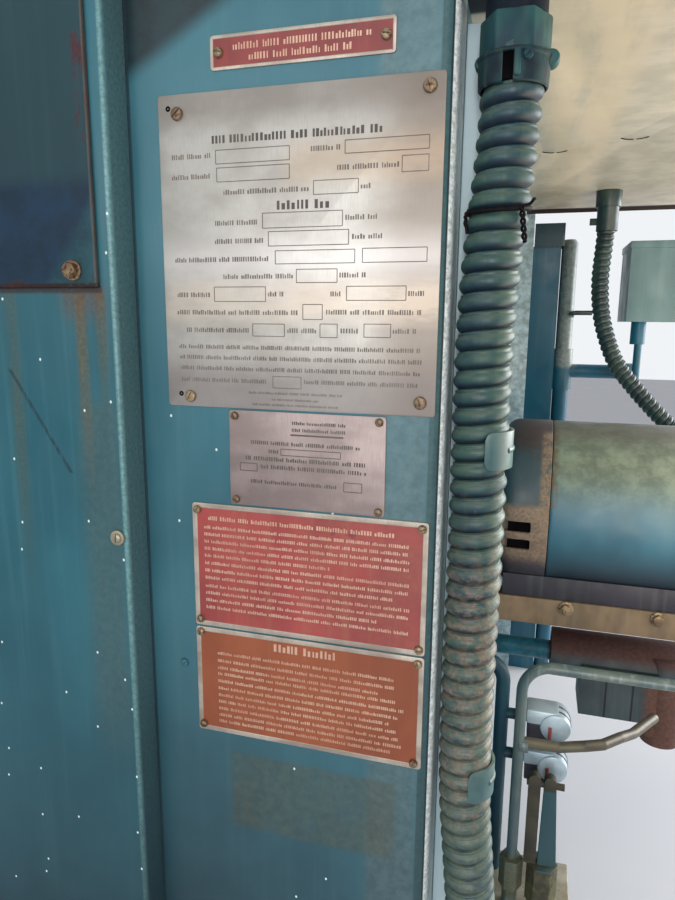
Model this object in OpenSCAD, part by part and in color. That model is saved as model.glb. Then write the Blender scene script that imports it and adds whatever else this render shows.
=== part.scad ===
// Front corner section of a packaged boiler: the sheet casing and its frame, the rating plates,
// the painted flexible conduit and the equipment that hangs on the front plate.
// Inside the modules X runs from the side bay to the front, Y runs into the boiler, and zero is
// where the casing seam, the face of the corner panel and the top of the data plate meet.
// The finished part is shifted so that its origin is the middle of the bolted side flange.

/* [Casing] */
// Width of the side bay, from its bolted flange to the seam
side_w = 300; // [240:5:500]
// Width of the corner panel, from the seam to the front face
corner_w = 185; // [185:1:240]
// Depth of the front plate behind the corner panel
front_d = 800; // [800:5:1000]
// Height of the casing above the top of the data plate
casing_up = 300; // [290:5:420]
// Height of the casing below the top of the data plate
casing_down = 700; // [700:5:900]
// Thickness of the casing sheet
sheet = 2; // [1.5:0.25:2.5]
// How far the side panel stands out in front of the corner panel
side_proud = 20.5; // [14:0.5:30]
// Outside radius of the bends in the corner panel
bend_r = 7; // [4:0.5:10]
// Outside radius of the bend at the seam side of the side panel
side_bend_r = 3; // [3:0.5:6]
// Lap of the corner panel behind the side panel
lap = 30; // [20:1:40]
// Length of the corner panel's return along the front
corner_return = 30; // [20:1:31]
// How far the flange at the far end of the front plate stands out
jamb_out = 30.5; // [20:0.5:31]

/* [Access cover] */
// Width of the access cover on the side panel
cover_w = 270; // [200:1:280]
// Gap between the cover's edge and the seam
cover_gap = 10; // [8:0.5:20]
// Lower edge of the cover below the top of the data plate
cover_low = 104; // [60:1:200]
// Gap between the cover and the top of the casing
cover_top_gap = 16; // [10:1:40]
// Thickness of the cover
cover_t = 3; // [2:0.5:4]

/* [Frame] */
// Width of the flanged posts at both ends of the section
post_w = 80; // [80:1:100]
// Leg of the post channels behind their web
post_leg = 45; // [30:1:50]
// Thickness of the posts
post_t = 5; // [4:0.5:6]
// Leg of the angle post behind the corner
corner_leg = 60; // [55:1:70]
// Leg of the horizontal rails
rail_leg = 40; // [30:1:40]
// Thickness of the rails
rail_t = 4; // [3:0.5:5]
// Distance between the bolt holes across a post
hole_across = 40; // [30:1:44]
// Distance between the bolt holes along a post
hole_along = 700; // [400:10:800]
// Diameter of the bolt holes
hole_d = 11; // [9:0.5:13]
// Thickness of the insulation
wool_t = 36; // [25:1:38]

/* [Plates] */
// Thickness of every plate
plate_t = 1; // [0.8:0.1:1.5]
// Width and height of the data plate
data_size = [160, 172];
// Left edge of the data plate from the seam
data_x = 20; // [12:1:22]
// Width and height of the small approval plate
approval_size = [94.5, 57];
// Left edge of the approval plate from the seam
approval_x = 59; // [40:1:80]
// Width and height of the red plate
red_size = [146, 80];
// Width and height of the orange plate
orange_size = [146, 72];
// Left edge of the red and orange plates from the seam
lower_x = 33; // [20:1:36]
// Gap between one plate and the next
plate_gap = 1.2; // [0.5:0.1:4]
// Width and height of the water level tag
tag_size = [101.6, 17.3];
// Left edge of the water level tag from the seam
tag_x = 52.7; // [40:0.1:80]
// Lower edge of the water level tag above the data plate
tag_up = 10; // [4:1:30]

/* [Conduit] */
// Outside diameter of the flexible conduit
conduit_d = 31.5; // [26:0.5:32]
// Distance from one ridge of the conduit to the next
ridge_pitch = 10; // [8:0.5:12]
// Depth of the groove between the ridges
groove = 2.6; // [1.5:0.1:3.5]
// Distance of the conduit's middle from the face of the corner panel
conduit_y = 15; // [14:0.5:17]
// Width of the strut behind the conduit
strut_w = 30; // [24:1:32]
// Depth of the strut
strut_d = 21; // [15:1:25]
// Thickness of the strut
strut_t = 2.5; // [2:0.5:3]
// Outside diameter of the connector at the top of the conduit
connector_d = 35.5; // [34.5:0.5:36.5]
// Outside diameter of the smaller conduit at the far side
far_d = 22; // [20:0.5:23]
// Depth of the smaller conduit behind the corner panel
far_y = 598; // [590:1:602]

/* [Cabinet] */
// How far the cabinet stands out from the front plate
cabinet_out = 270; // [240:5:330]
// Underside of the cabinet above the top of the data plate
cabinet_low = 42; // [42:1:60]
// Depth of the cabinet along the front plate
cabinet_d = 750; // [700:5:760]
// How far the cabinet reaches in front of the corner panel
cabinet_near = 8; // [4:1:20]
// Thickness of the cabinet's sheet
cabinet_t = 2; // [1.5:0.25:3]
// Diameter of the round knockouts in the underside
knockout_d = 27; // [20:1:30]

/* [Blower motor] */
// Diameter of the motor's barrel
motor_d = 182; // [176:1:188]
// Length of the motor's barrel between its two bells
barrel_l = 180; // [140:1:200]
// Length of each end bell
bell_l = 48; // [40:1:56]
// Gap between the motor's rear bell and the front plate
motor_gap = 19; // [14:1:40]
// Depth of the motor's axis behind the corner panel
motor_y = 400; // [390:1:410]
// Top of the shelf rails below the top of the data plate
shelf_low = 403; // [403:1:415]
// Height of the motor's axis above the shelf rails
motor_rise = 86; // [84:1:92]
// Diameter of the motor shaft
shaft_d = 28; // [19:1:32]
// Free length of the motor shaft
shaft_l = 45; // [30:1:60]
// Leg of the two shelf rails
shelf_leg = 28; // [25:1:32]

/* [Front piping] */
// Depth of the small tubes behind the corner panel
tube_y = 200; // [190:1:205]
// Outside diameter of the small tubes
tube_d = 9.5; // [8:0.5:12]
// Bend radius of the small tubes
tube_bend = 25; // [18:1:30]
// Outside diameter of the stand pipe
pipe_d = 13; // [11:0.5:15]
// Diameter of the fuel pump's body
pump_d = 54; // [48:1:60]

/* [Hidden] */
$fn = 48;

casing_h = casing_up + casing_down;
mid_z = (casing_up - casing_down) / 2;
post_y = sheet + post_w / 2;
inner_x = corner_w - sheet;
side_face_y = -side_proud;
red_top = -data_size[1] - plate_gap - approval_size[1] - plate_gap;
orange_top = red_top - red_size[1] - plate_gap;

// Round numbers along the middle of the flexible conduit: distance in front of the front
// plate, and height. The last one lies in the socket of the lower connector.
conduit_route = [[26, 6], [24.5, -35], [19.5, -95], [18, -150], [18.5, -240], [18, -330],
    [19, -400], [24, -460], [28, -510], [28, -552]];
// The same for the smaller conduit, whose last point lies in the motor's terminal box
far_route = [[121, 34], [121, 4], [119.5, -24], [118, -67], [122, -107], [131, -140], [146, -174],
    [172, -207], [203, -240], [226, -262], [241, -280], [244, -300]];
strut_up = 33;
strut_x = corner_w;
strut_y = conduit_y + connector_d / 2 + 1.2;
socket_top = 6;
body_top = 25;
clamp_low = -8;
clamp_gap = 5;
ear = 5;
lower_box_top = -580;
lower_box_h = 80;
strap_heights = [-189, -390];
strap_h = 21;
strap_t = 1.8;
strap_tip = 4.5;
strap_corner = 4;
strap_x = corner_w + conduit_route[4][0];
strap_r = conduit_d / 2 + 0.3;
cabinet_far = cabinet_d - cabinet_near;
knockouts = [[50, 362], [118, 327.5]];
motor_x = corner_w + motor_gap;
motor_z = -shelf_low + motor_rise;
box_x = corner_w + 206;
box_w = 76;
box_top = -310;
vent_turns = [3, 15];
vent_l = 28;
vent_h = 12;
column_y = front_d - 54;
column_pipe = [corner_w + 84, column_y + 19];
column_pipe_d = 24;
branch_z = -196;
stand_x = corner_w + 177;
stand_y = 650;
pump_z = -492;
tube_x = corner_w + 51;
tube_z = -411;
pipe_x = corner_w + 34;
pipe_y = tube_y + 40;
fuel_start = [tube_x, tube_y, -487];
fuel_corner = [corner_w + 127.5, tube_y, -479.5];
fuel_end = [corner_w + 186, 372, -556];
lobe = [corner_w + 201, 390];
switch_tops = [-463, -504];

// Points of a smooth curve through the route, and the running length at each of them
function curve(p, i, t) = let (
        a = p[max(i - 1, 0)], b = p[i], c = p[i + 1], d = p[min(i + 2, len(p) - 1)])
    0.5 * (2 * b + (c - a) * t + (2 * a - 5 * b + 4 * c - d) * t * t
        + (3 * b - a - 3 * c + d) * t * t * t);
function curve_points(p, n = 6) = [for (i = [0:len(p) - 2]) for (k = [0:n - 1]) curve(p, i, k / n),
    p[len(p) - 1]];
function running(q) = [for (i = 0, s = 0; i < len(q); s = i + 1 < len(q) ? s + norm(q[i + 1] - q[i])
    : s, i = i + 1) s];
function along(s, q, run, axis) = lookup(s, [for (i = [0:len(q) - 1]) [run[i], q[i][axis]]]);

// Radius of the wound conduit at a length s and an angle a: broad bands with a narrow groove
// that climbs one pitch in each turn, and plain ends
function wound_radius(s, a, total, d, pitch, deep) =
    (s < pitch || s > total - pitch) ? d / 2 - deep
    : d / 2 - deep * pow(abs(cos(180 * (s / pitch - a / 360))), 5);

// A flexible conduit wound from strip, along a route of [distance out, height]
module wound_conduit(route, d, pitch, deep, steps, sides) {
    q = curve_points(route);
    run = running(q);
    total = run[len(run) - 1];
    rings = round(total / pitch * steps);
    ds = total / rings;
    points = [for (k = [0:rings]) let (
            s = k * ds,
            here = [along(s, q, run, 0), along(s, q, run, 1)],
            ahead = [along(s + 1, q, run, 0), along(s + 1, q, run, 1)],
            back = [along(s - 1, q, run, 0), along(s - 1, q, run, 1)],
            dir = (ahead - back) / norm(ahead - back))
        for (j = [0:sides - 1]) let (a = j * 360 / sides, r = wound_radius(s, a, total, d, pitch, deep))
            [here[0] - dir[1] * r * cos(a), r * sin(a), here[1] + dir[0] * r * cos(a)]];
    walls = [for (k = [0:rings - 1]) for (j = [0:sides - 1]) let (n = (j + 1) % sides)
        [k * sides + j, (k + 1) * sides + j, (k + 1) * sides + n, k * sides + n]];
    first = [for (j = [0:sides - 1]) j];
    last = [for (j = [0:sides - 1]) rings * sides + sides - 1 - j];
    polyhedron(points, concat([first], walls, [last]), convexity = 12);
}

// A box given by its lowest and its highest corner
module block(low, high) translate(low) cube(high - low);

// A round bar between two heights, along Z
module rod(x, y, low, high, d) translate([x, y, low]) cylinder(h = high - low, d = d);

// A round bar along X and along Y
module rod_x(x1, x2, y, z, d) translate([x1, y, z]) rotate([0, 90, 0]) cylinder(h = x2 - x1, d = d);
module rod_y(y1, y2, x, z, d) translate([x, y1, z]) rotate([-90, 0, 0]) cylinder(h = y2 - y1, d = d);

// A round bar from point a to point b
module bar(a, b, d) translate(a) rotate([0, acos((b - a)[2] / norm(b - a)), atan2((b - a)[1], (b - a)[0])])
    cylinder(h = norm(b - a), d = d);

// Plan outline of a panel whose right-hand corner is bent round with radius r
module bent_plan(x1, x2, y1, y2, r) {
    translate([x1, y1]) square([x2 - x1 - r, y2 - y1]);
    translate([x1, y1 + r]) square([x2 - x1, y2 - y1 - r]);
    translate([x2 - r, y1 + r]) circle(r);
}

// Angle section with its corner at the origin and its legs along +X and +Y
module angle_section(leg_a, leg_b, t) {
    square([leg_a, t]);
    square([t, leg_b]);
}

module side_panel() color("#2f7f86") difference() {
    translate([0, 0, -casing_down]) linear_extrude(casing_h)
        bent_plan(-side_w, 0, side_face_y, sheet, side_bend_r);
    translate([0, 0, -casing_down + sheet]) linear_extrude(casing_h - 2 * sheet)
        bent_plan(-side_w + sheet, -sheet, side_face_y + sheet, sheet + 1, side_bend_r - sheet);
    block([-lap, 0, -casing_down - 1], [1, sheet + 1, casing_up + 1]);
}

module access_cover() color("#1f5f6a") translate([-cover_gap - cover_w, side_face_y - cover_t, -cover_low])
    cube([cover_w, cover_t, casing_up + cover_low - cover_top_gap]);

module corner_panel() color("#2f868c") translate([0, 0, -casing_down]) linear_extrude(casing_h) difference() {
    bent_plan(-lap, corner_w, 0, corner_return, bend_r);
    bent_plan(-lap - 1, inner_x, sheet, corner_return + 1, bend_r - sheet);
}

// Front plate, with a flange at its far end that ends below the cabinet
module front_panel() color("#3a8d94") {
    block([inner_x, corner_return, -casing_down], [corner_w, front_d, casing_up]);
    block([corner_w - 1, column_y - 4, -casing_down], [corner_w + jamb_out, column_y - 1, cabinet_low]);
}

// Rectangle of bolt holes through a post, in the plane of its web
module bolt_holes() for (a = [-1, 1], b = [-1, 1])
    translate([a * hole_across / 2, b * hole_along / 2, -1]) cylinder(h = post_t + 2, d = hole_d);

// Channel post: the web lies on Z = 0 with the legs above it, length along Y
module channel_post(long) difference() {
    translate([0, long / 2, 0]) rotate([90, 0, 0]) linear_extrude(long) difference() {
        translate([-post_w / 2, 0]) square([post_w, post_leg]);
        translate([-post_w / 2 + post_t, post_t]) square([post_w - 2 * post_t, post_leg]);
    }
    bolt_holes();
}

module side_post() color("#27646c") translate([-side_w, post_y, mid_z]) rotate([90, 0, 90])
    channel_post(casing_h - 2 * sheet);

module front_post() color("#27646c") translate([inner_x - post_w / 2, front_d, mid_z]) rotate([90, 0, 0])
    channel_post(casing_h);

module corner_post() color("#27646c") translate([0, 0, -casing_down]) linear_extrude(casing_h) difference() {
    bent_plan(inner_x - corner_leg, inner_x, sheet, sheet + corner_leg, bend_r);
    bent_plan(inner_x - corner_leg - 1, inner_x - post_t, sheet + post_t, sheet + corner_leg + 1,
        max(bend_r - post_t, 1));
}

// Rail behind the side bay and the corner panel, with its upright leg against the sheet
module side_rail() translate([-side_w + post_leg, sheet, 0]) rotate([90, 0, 90])
    linear_extrude(side_w - post_leg + inner_x - corner_leg) angle_section(rail_leg, rail_leg, rail_t);

// Rail behind the front plate
module front_rail() translate([inner_x, sheet + corner_leg, 0]) rotate([90, 0, 180])
    linear_extrude(front_d - post_leg - sheet - corner_leg) angle_section(rail_leg, rail_leg, rail_t);

module top_side_rail() color("#27646c") translate([0, 0, casing_up]) mirror([0, 0, 1])
    translate([0, 0, sheet]) side_rail();
module bottom_side_rail() color("#27646c") translate([0, 0, sheet - casing_down]) side_rail();
module top_front_rail() color("#27646c") translate([0, 0, casing_up]) mirror([0, 0, 1]) front_rail();
module bottom_front_rail() color("#27646c") translate([0, 0, -casing_down]) front_rail();

// Wool behind the side bay and the corner panel; it also fills the pan of the side panel
module side_insulation() color("#b8a46a") {
    block([-side_w + post_leg, sheet, -casing_down + sheet + rail_leg],
        [inner_x - corner_leg, sheet + wool_t, casing_up - sheet - rail_leg]);
    block([-side_w + sheet, side_face_y + sheet, -casing_down + sheet], [-lap, sheet, casing_up - sheet]);
}

module front_insulation() color("#b8a46a")
    block([inner_x - wool_t, sheet + corner_leg, -casing_down + rail_leg],
        [inner_x, front_d - post_leg, casing_up - rail_leg]);

// A thin plate on the corner panel, given by its left edge, its top and its size
module thin_plate(x, top, size) translate([x, -plate_t, top - size[1]]) cube([size[0], plate_t, size[1]]);

module level_tag() color("#9c2f2a") thin_plate(tag_x, tag_up + tag_size[1], tag_size);
module data_plate() color("#b9b2a4") thin_plate(data_x, 0, data_size);
module approval_plate() color("#bdb7ab") thin_plate(approval_x, -data_size[1] - plate_gap, approval_size);
module red_plate() color("#b5423f") thin_plate(lower_x, red_top, red_size);
module orange_plate() color("#b0602f") thin_plate(lower_x, orange_top, orange_size);

// Strut with its plain back towards the conduit and its slot towards the boiler
module conduit_strut() color("#6fb0b8") translate([strut_x, strut_y, -casing_down])
    linear_extrude(casing_down + strut_up) difference() {
        square([strut_w, strut_d]);
        translate([strut_t, strut_t]) square([strut_w - 2 * strut_t, strut_d - 2 * strut_t]);
        translate([strut_w / 4, strut_t]) square([strut_w / 2, strut_d]);
    }

module conduit() color("#2c7078") translate([corner_w, conduit_y, 0])
    wound_conduit(conduit_route, conduit_d, ridge_pitch, groove, 5, 14);

// Clamp jaw of a connector: a split band with two ears, its lower end at zero
module clamp_jaw(h) difference() {
    union() {
        cylinder(h = h, d = connector_d);
        translate([0, 0, h - 1]) cylinder(h = 2, d = connector_d + 2);
        translate([-connector_d / 2 - ear, -4, h - 1]) cube([connector_d + 2 * ear, 8, 9]);
    }
    translate([-clamp_gap, -connector_d, -1]) cube([clamp_gap, connector_d, h]);
}

// Straight connector: threaded neck in the cabinet, locknut inside, body and clamp jaw
module top_connector() color("#2a6f78")
    translate([corner_w + conduit_route[0][0], conduit_y, 0]) difference() {
    union() {
        translate([0, 0, clamp_low]) clamp_jaw(9.5);
        translate([0, 0, 2]) cylinder(h = body_top - 2, d = connector_d);
        translate([0, 0, body_top]) cylinder(h = cabinet_low - body_top, d = connector_d - 5);
        translate([0, 0, cabinet_low]) cylinder(h = 14, d = knockout_d - 1);
        translate([0, 0, cabinet_low + cabinet_t]) cylinder(h = 5, d = knockout_d + 12, $fn = 6);
    }
    translate([0, 0, clamp_low - 1]) cylinder(h = 1 - clamp_low + socket_top, d = conduit_d + 0.4);
    translate([0, 0, socket_top - 1]) cylinder(h = cabinet_low + 20, d = knockout_d - 6);
}

module lower_connector() color("#2a6f78")
    translate([corner_w + conduit_route[9][0], conduit_y, lower_box_top]) difference() {
        union() {
            cylinder(h = 20, d = connector_d);
            translate([0, 0, 36]) mirror([0, 0, 1]) clamp_jaw(16);
        }
        translate([0, 0, conduit_route[9][1] - lower_box_top]) cylinder(h = 20, d = conduit_d + 0.4);
        translate([0, 0, -1]) cylinder(h = 40, d = knockout_d - 6);
    }

module lower_box() color("#2f7f86")
    block([corner_w + 2, -20, lower_box_top - lower_box_h], [corner_w + 56, strut_y, lower_box_top]);

// Outline of a strap from the front: a plain band whose loose end has rounded corners
module strap_outline() {
    translate([strap_tip + strap_corner, -strap_h / 2]) square([conduit_d, strap_h]);
    translate([strap_tip, strap_corner - strap_h / 2]) square([conduit_d, strap_h - 2 * strap_corner]);
    for (side = [-1, 1]) translate([strap_tip + strap_corner, side * (strap_h / 2 - strap_corner)])
        circle(strap_corner);
}

// Band of a strap in plan, round the right-hand side of the conduit
module strap_band() difference() {
    circle(strap_r + strap_t);
    circle(strap_r);
    translate([-2 * strap_r, -2 * strap_r]) square([2 * strap_r, 4 * strap_r]);
}

// One-hole straps that hook round the conduit, each with its foot on the strut
module conduit_straps() color("#4f8f93") for (z = strap_heights) translate([strap_x, conduit_y, z]) {
    foot_y = strut_y - conduit_y - strap_t;
    intersection() {
        translate([0, 0, -strap_h / 2]) linear_extrude(strap_h) strap_band();
        translate([0, 1, 0]) rotate([90, 0, 0]) linear_extrude(2 * strap_r) strap_outline();
    }
    translate([0, 0, -strap_h / 2]) linear_extrude(strap_h) intersection() {
        strap_band();
        square(2 * strap_r);
    }
    translate([-8, foot_y, -strap_h / 2]) cube([15, strap_t, strap_h]);
    translate([0, foot_y - 1, -strap_h / 2]) cube([4, 2, strap_h]);
}

module wire_tie() color("#1b1b1d") translate([corner_w + 21.5, conduit_y, -70]) {
    rotate_extrude() translate([conduit_d / 2 + 0.6, 0]) circle(d = 1.2, $fn = 16);
    translate([conduit_d / 2 - 1, -4, 0]) rotate([0, 150, 0]) cylinder(h = 16, d = 1.4);
}

module cabinet_shell() color("#a9a294") difference() {
    union() {
        block([corner_w, -cabinet_near, cabinet_low], [corner_w + cabinet_out, cabinet_far, casing_up]);
        block([corner_w, cabinet_far - cabinet_t, cabinet_low - 4],
            [corner_w + cabinet_out, cabinet_far, cabinet_low + 1]);
    }
    block([corner_w + cabinet_t, -cabinet_near + cabinet_t, cabinet_low + cabinet_t],
        [corner_w + cabinet_out + 1, cabinet_far - cabinet_t, casing_up - cabinet_t]);
    translate([corner_w + conduit_route[0][0], conduit_y, cabinet_low - 1])
        cylinder(h = cabinet_t + 2, d = knockout_d);
    for (p = knockouts) translate([corner_w + p[0], p[1], cabinet_low - 1]) rotate(30)
        rotate_extrude(angle = 120) translate([knockout_d / 2 - 1, 0]) square([1, 1.6]);
}

module cabinet_door() color("#2f7f86") {
    translate([corner_w + cabinet_out, -cabinet_near, cabinet_low])
        cube([cabinet_t, cabinet_d, casing_up - cabinet_low]);
    for (k = [0.25, 0.75])
        rod_x(corner_w + cabinet_out + cabinet_t, corner_w + cabinet_out + cabinet_t + 9,
            cabinet_d * k, cabinet_low + 40, 22);
}

module far_conduit() color("#39565f") translate([corner_w, far_y, 0])
    wound_conduit(far_route, far_d, 8, 1.6, 3, 10);

// Connectors of the smaller conduit, and the rod from the far column that steadies it
module far_connectors() color("#39565f") translate([corner_w, far_y, 0]) {
    rod_y(0, column_y + 4 - far_y, 91, -109, 6);
    rod_x(91, 122.4 - far_d / 2, 0, -109, 6);
    translate([far_route[0][0], 0, 0]) difference() {
        union() {
            rod(0, 0, 22, cabinet_low, far_d + 9);
            rod(0, 0, -7, 23, far_d + 4);
            block([-far_d / 2 - 10, -3, 1], [0, 3, 9]);
        }
        rod(0, 0, -8, far_route[0][1] + 1, far_d + 0.4);
    }
    translate([far_route[11][0], 0, box_top]) difference() {
        cylinder(h = 26, d = far_d + 7);
        translate([0, 0, far_route[11][1] - box_top]) cylinder(h = 17, d = far_d + 0.4);
    }
}

module motor_barrel() color("#3f7c80") rod_x(motor_x + bell_l, motor_x + bell_l + barrel_l, motor_y,
    motor_z, motor_d);

// End bell: a short drum with a rounded rim and a flat middle
module bell_form() rotate_extrude() {
    square([motor_d / 2 - 14, bell_l]);
    square([motor_d / 2, bell_l - 14]);
    translate([motor_d / 2 - 14, bell_l - 14]) circle(14);
}

module motor_rear_bell() color("#356f75") difference() {
    translate([motor_x + bell_l, motor_y, motor_z]) rotate([0, -90, 0]) bell_form();
    for (side = [0, 1], turn = vent_turns) translate([motor_x + 3, motor_y, motor_z]) mirror([0, side, 0])
        rotate([turn, 0, 0]) translate([0, -motor_d / 2 - 1, -vent_h / 2]) cube([vent_l, 12, vent_h]);
}

module motor_front_bell() color("#356f75") {
    translate([motor_x + bell_l + barrel_l, motor_y, motor_z]) rotate([0, 90, 0]) bell_form();
    rod_x(motor_x + 2 * bell_l + barrel_l, motor_x + 2 * bell_l + barrel_l + shaft_l, motor_y, motor_z,
        shaft_d);
}

// Two cast cradles, shaped to the motor above and flat on the shelf rails below
module motor_feet() color("#356f75") for (side = [0, 1]) translate([motor_x + 6, motor_y, -shelf_low])
    mirror([0, side, 0]) rotate([90, 0, 90]) linear_extrude(2 * bell_l + barrel_l - 12) difference() {
        translate([44, 0]) square([24, 24]);
        translate([0, motor_rise]) circle(d = motor_d);
    }

module terminal_box() color("#2f7f86") difference() {
    block([box_x, motor_y + motor_d / 2 - 3, box_top - 50], [box_x + box_w, far_y + 30, box_top]);
    rod_x(box_x - 1, box_x + box_w + 1, motor_y, motor_z, motor_d);
}

// Shelf of two angle rails welded to a plate on the front of the boiler
module motor_shelf() color("#8a6f4a") {
    rail_end = motor_x + 2 * bell_l + barrel_l;
    block([corner_w, motor_y - 90, -shelf_low - 50], [corner_w + 6, motor_y + 90, -shelf_low + 6]);
    for (side = [0, 1]) translate([0, motor_y, 0]) mirror([0, side, 0]) {
        block([corner_w + 6, -70, -shelf_low - 4], [rail_end, -70 + shelf_leg, -shelf_low]);
        block([corner_w + 6, -70, -shelf_low - shelf_leg], [rail_end, -66, -shelf_low]);
    }
}

// A square column with a cap, and a pipe with a tee whose branch carries the small box
module far_columns() color("#1f5f72") {
    block([corner_w + 33, column_y, -casing_down], [corner_w + 71, column_y + 40, -8]);
    block([corner_w + 31.5, column_y - 1, -9], [corner_w + 75, column_y + 44, 24.5]);
    for (z = [-120, -560]) block([corner_w, column_y + 9, z], [corner_w + 34, column_y + 29, z + 40]);
    rod(column_pipe[0], column_pipe[1], -casing_down, -4, column_pipe_d);
    translate([column_pipe[0], column_pipe[1], -4])
        cylinder(h = 6, d1 = column_pipe_d, d2 = column_pipe_d - 8);
    rod(column_pipe[0], column_pipe[1], branch_z - 29, branch_z + 34, column_pipe_d + 6);
    rod_x(column_pipe[0], stand_x, column_pipe[1], branch_z, 21);
    block([stand_x - 10, column_y + 4, branch_z - 13], [stand_x + 10, column_y + 32, branch_z + 13]);
    block([corner_w + 86, column_y + 4, -114], [corner_w + 96, column_y + 19, -104]);
}

module far_box() color("#5e8f92") {
    block([corner_w + 155, 620, -120], [corner_w + 230, 720, -20]);
    block([corner_w + 154, 619, -26], [corner_w + 231, 721, -17]);
}

module far_box_stand() color("#3c7378") {
    rod(stand_x - 1.5, stand_y, -150, -120, 19);
    rod(stand_x, stand_y, branch_z - 5, -149, 10);
    rod_y(stand_y, column_y + 4, stand_x, branch_z, 10);
}

// A quarter bend of a tube in the XZ plane, from upright to level
module tube_elbow(r, d) rotate([90, 0, 0]) rotate_extrude(angle = 90) translate([r, 0]) circle(d = d);

module water_tube() color("#4c7d78") {
    rod(tube_x, tube_y, -650, -629, tube_d + 4);
    translate([tube_x, tube_y, -630]) cylinder(h = 29, d = 21, $fn = 6);
    rod(tube_x, tube_y, -602, tube_z - tube_bend, tube_d);
    translate([tube_x + tube_bend, tube_y, tube_z - tube_bend]) mirror([1, 0, 0])
        tube_elbow(tube_bend, tube_d);
    rod_x(tube_x + tube_bend, corner_w + 230, tube_y, tube_z, tube_d);
    rod_x(tube_x, tube_x + 8, tube_y, fuel_start[2], 13);
    translate([corner_w + 222, tube_y, tube_z]) rotate([0, 90, 0]) cylinder(h = 24, d = 18, $fn = 6);
}

module stand_pipe() color("#1f5a66") {
    rod(pipe_x, pipe_y, -650, -452, pipe_d);
    translate([pipe_x - 22, pipe_y, -452]) tube_elbow(22, pipe_d);
    rod_x(corner_w, pipe_x - 22, pipe_y, -430, pipe_d);
}

// Pump with its body along the motor, a box below it and an upright lobe with the fuel inlet
module fuel_pump() color("#5d6f6c") {
    way = (fuel_end - fuel_corner) / norm(fuel_end - fuel_corner);
    rod_x(corner_w, corner_w + 82, motor_y, pump_z, 22);
    rod_x(corner_w + 81, corner_w + 215, motor_y, pump_z, pump_d);
    block([corner_w + 113, motor_y - 34, pump_z - 54], [corner_w + 191, motor_y + 20, pump_z + 2]);
    rod(lobe[0], lobe[1], pump_z - 83, pump_z + 17, 40);
    bar(fuel_end, fuel_end + 20 * way, 14);
}

// Fuel tube from the tee on the small tube to a round fitting, then down to the pump's inlet
module fuel_tube() color("#8b7a55") {
    bar(fuel_start + [8, 0, 0.8], fuel_corner, tube_d);
    translate(fuel_corner) sphere(d = tube_d + 4);
    bar(fuel_corner, fuel_end, tube_d);
}

module control_switches() color("#7b97a8") for (top = switch_tops) difference() {
    union() {
        block([corner_w + 56, pipe_y - 18, top - 33], [corner_w + 84, pipe_y + 18, top]);
        rod_y(pipe_y - 18, pipe_y + 18, corner_w + 83, top - 16.5, 29);
        rod_x(pipe_x, corner_w + 57, pipe_y, top - 20, 10);
    }
    rod(pipe_x, pipe_y, top - 60, top, pipe_d);
}

// Two bars side by side, the right-hand one wider at its foot, on a union with flats
module linkage() color("#8a744c") {
    block([corner_w + 61.5, tube_y - 4, -601], [corner_w + 72, tube_y + 4, -518]);
    rod_y(tube_y - 4, tube_y + 4, corner_w + 66.75, -518, 10.5);
    translate([corner_w, tube_y + 4, 0]) rotate([90, 0, 0]) linear_extrude(8)
        polygon([[73.5, -601], [89.5, -601], [85, -518], [75, -518]]);
    rod_y(tube_y - 4, tube_y + 4, corner_w + 80, -518, 10);
    rod_x(corner_w + 60, corner_w + 92, tube_y, -522, 6);
    rod(corner_w + 78, tube_y, -650, -639, 18);
    translate([corner_w + 78, tube_y, -640]) cylinder(h = 39.5, d = 27, $fn = 6);
}

module lower_bracket() color("#27646c") {
    block([corner_w, 180, -656], [corner_w + 105, 262, -650]);
    block([corner_w, 180, -casing_down], [corner_w + 6, 262, -650]);
}

// Puts the origin in the middle of the bolted flange of the side post
module in_frame() translate([side_w, -post_y, -mid_z]) children();

in_frame() side_panel();
in_frame() access_cover();
in_frame() corner_panel();
in_frame() front_panel();
in_frame() side_post();
in_frame() corner_post();
in_frame() front_post();
in_frame() top_side_rail();
in_frame() bottom_side_rail();
in_frame() top_front_rail();
in_frame() bottom_front_rail();
in_frame() side_insulation();
in_frame() front_insulation();
in_frame() level_tag();
in_frame() data_plate();
in_frame() approval_plate();
in_frame() red_plate();
in_frame() orange_plate();
in_frame() conduit_strut();
in_frame() conduit();
in_frame() top_connector();
in_frame() lower_connector();
in_frame() lower_box();
in_frame() conduit_straps();
in_frame() wire_tie();
in_frame() cabinet_shell();
in_frame() cabinet_door();
in_frame() far_conduit();
in_frame() far_connectors();
in_frame() motor_barrel();
in_frame() motor_rear_bell();
in_frame() motor_front_bell();
in_frame() motor_feet();
in_frame() terminal_box();
in_frame() motor_shelf();
in_frame() far_columns();
in_frame() far_box();
in_frame() far_box_stand();
in_frame() water_tube();
in_frame() stand_pipe();
in_frame() fuel_pump();
in_frame() fuel_tube();
in_frame() control_switches();
in_frame() linkage();
in_frame() lower_bracket();
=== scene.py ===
"""Dresses the front corner section of a packaged boiler: casing, plates, conduit and front equipment.

Places in the classes are in millimetres from the casing seam, the face of the corner panel and the
top of the data plate, as in the part's source. The function at() puts them in the row frame.
"""

import logging
import math
import random
from dataclasses import dataclass, field
from enum import Enum
from typing import Callable, Iterable, Sequence

import bpy
from mathutils import Matrix, Vector


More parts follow.
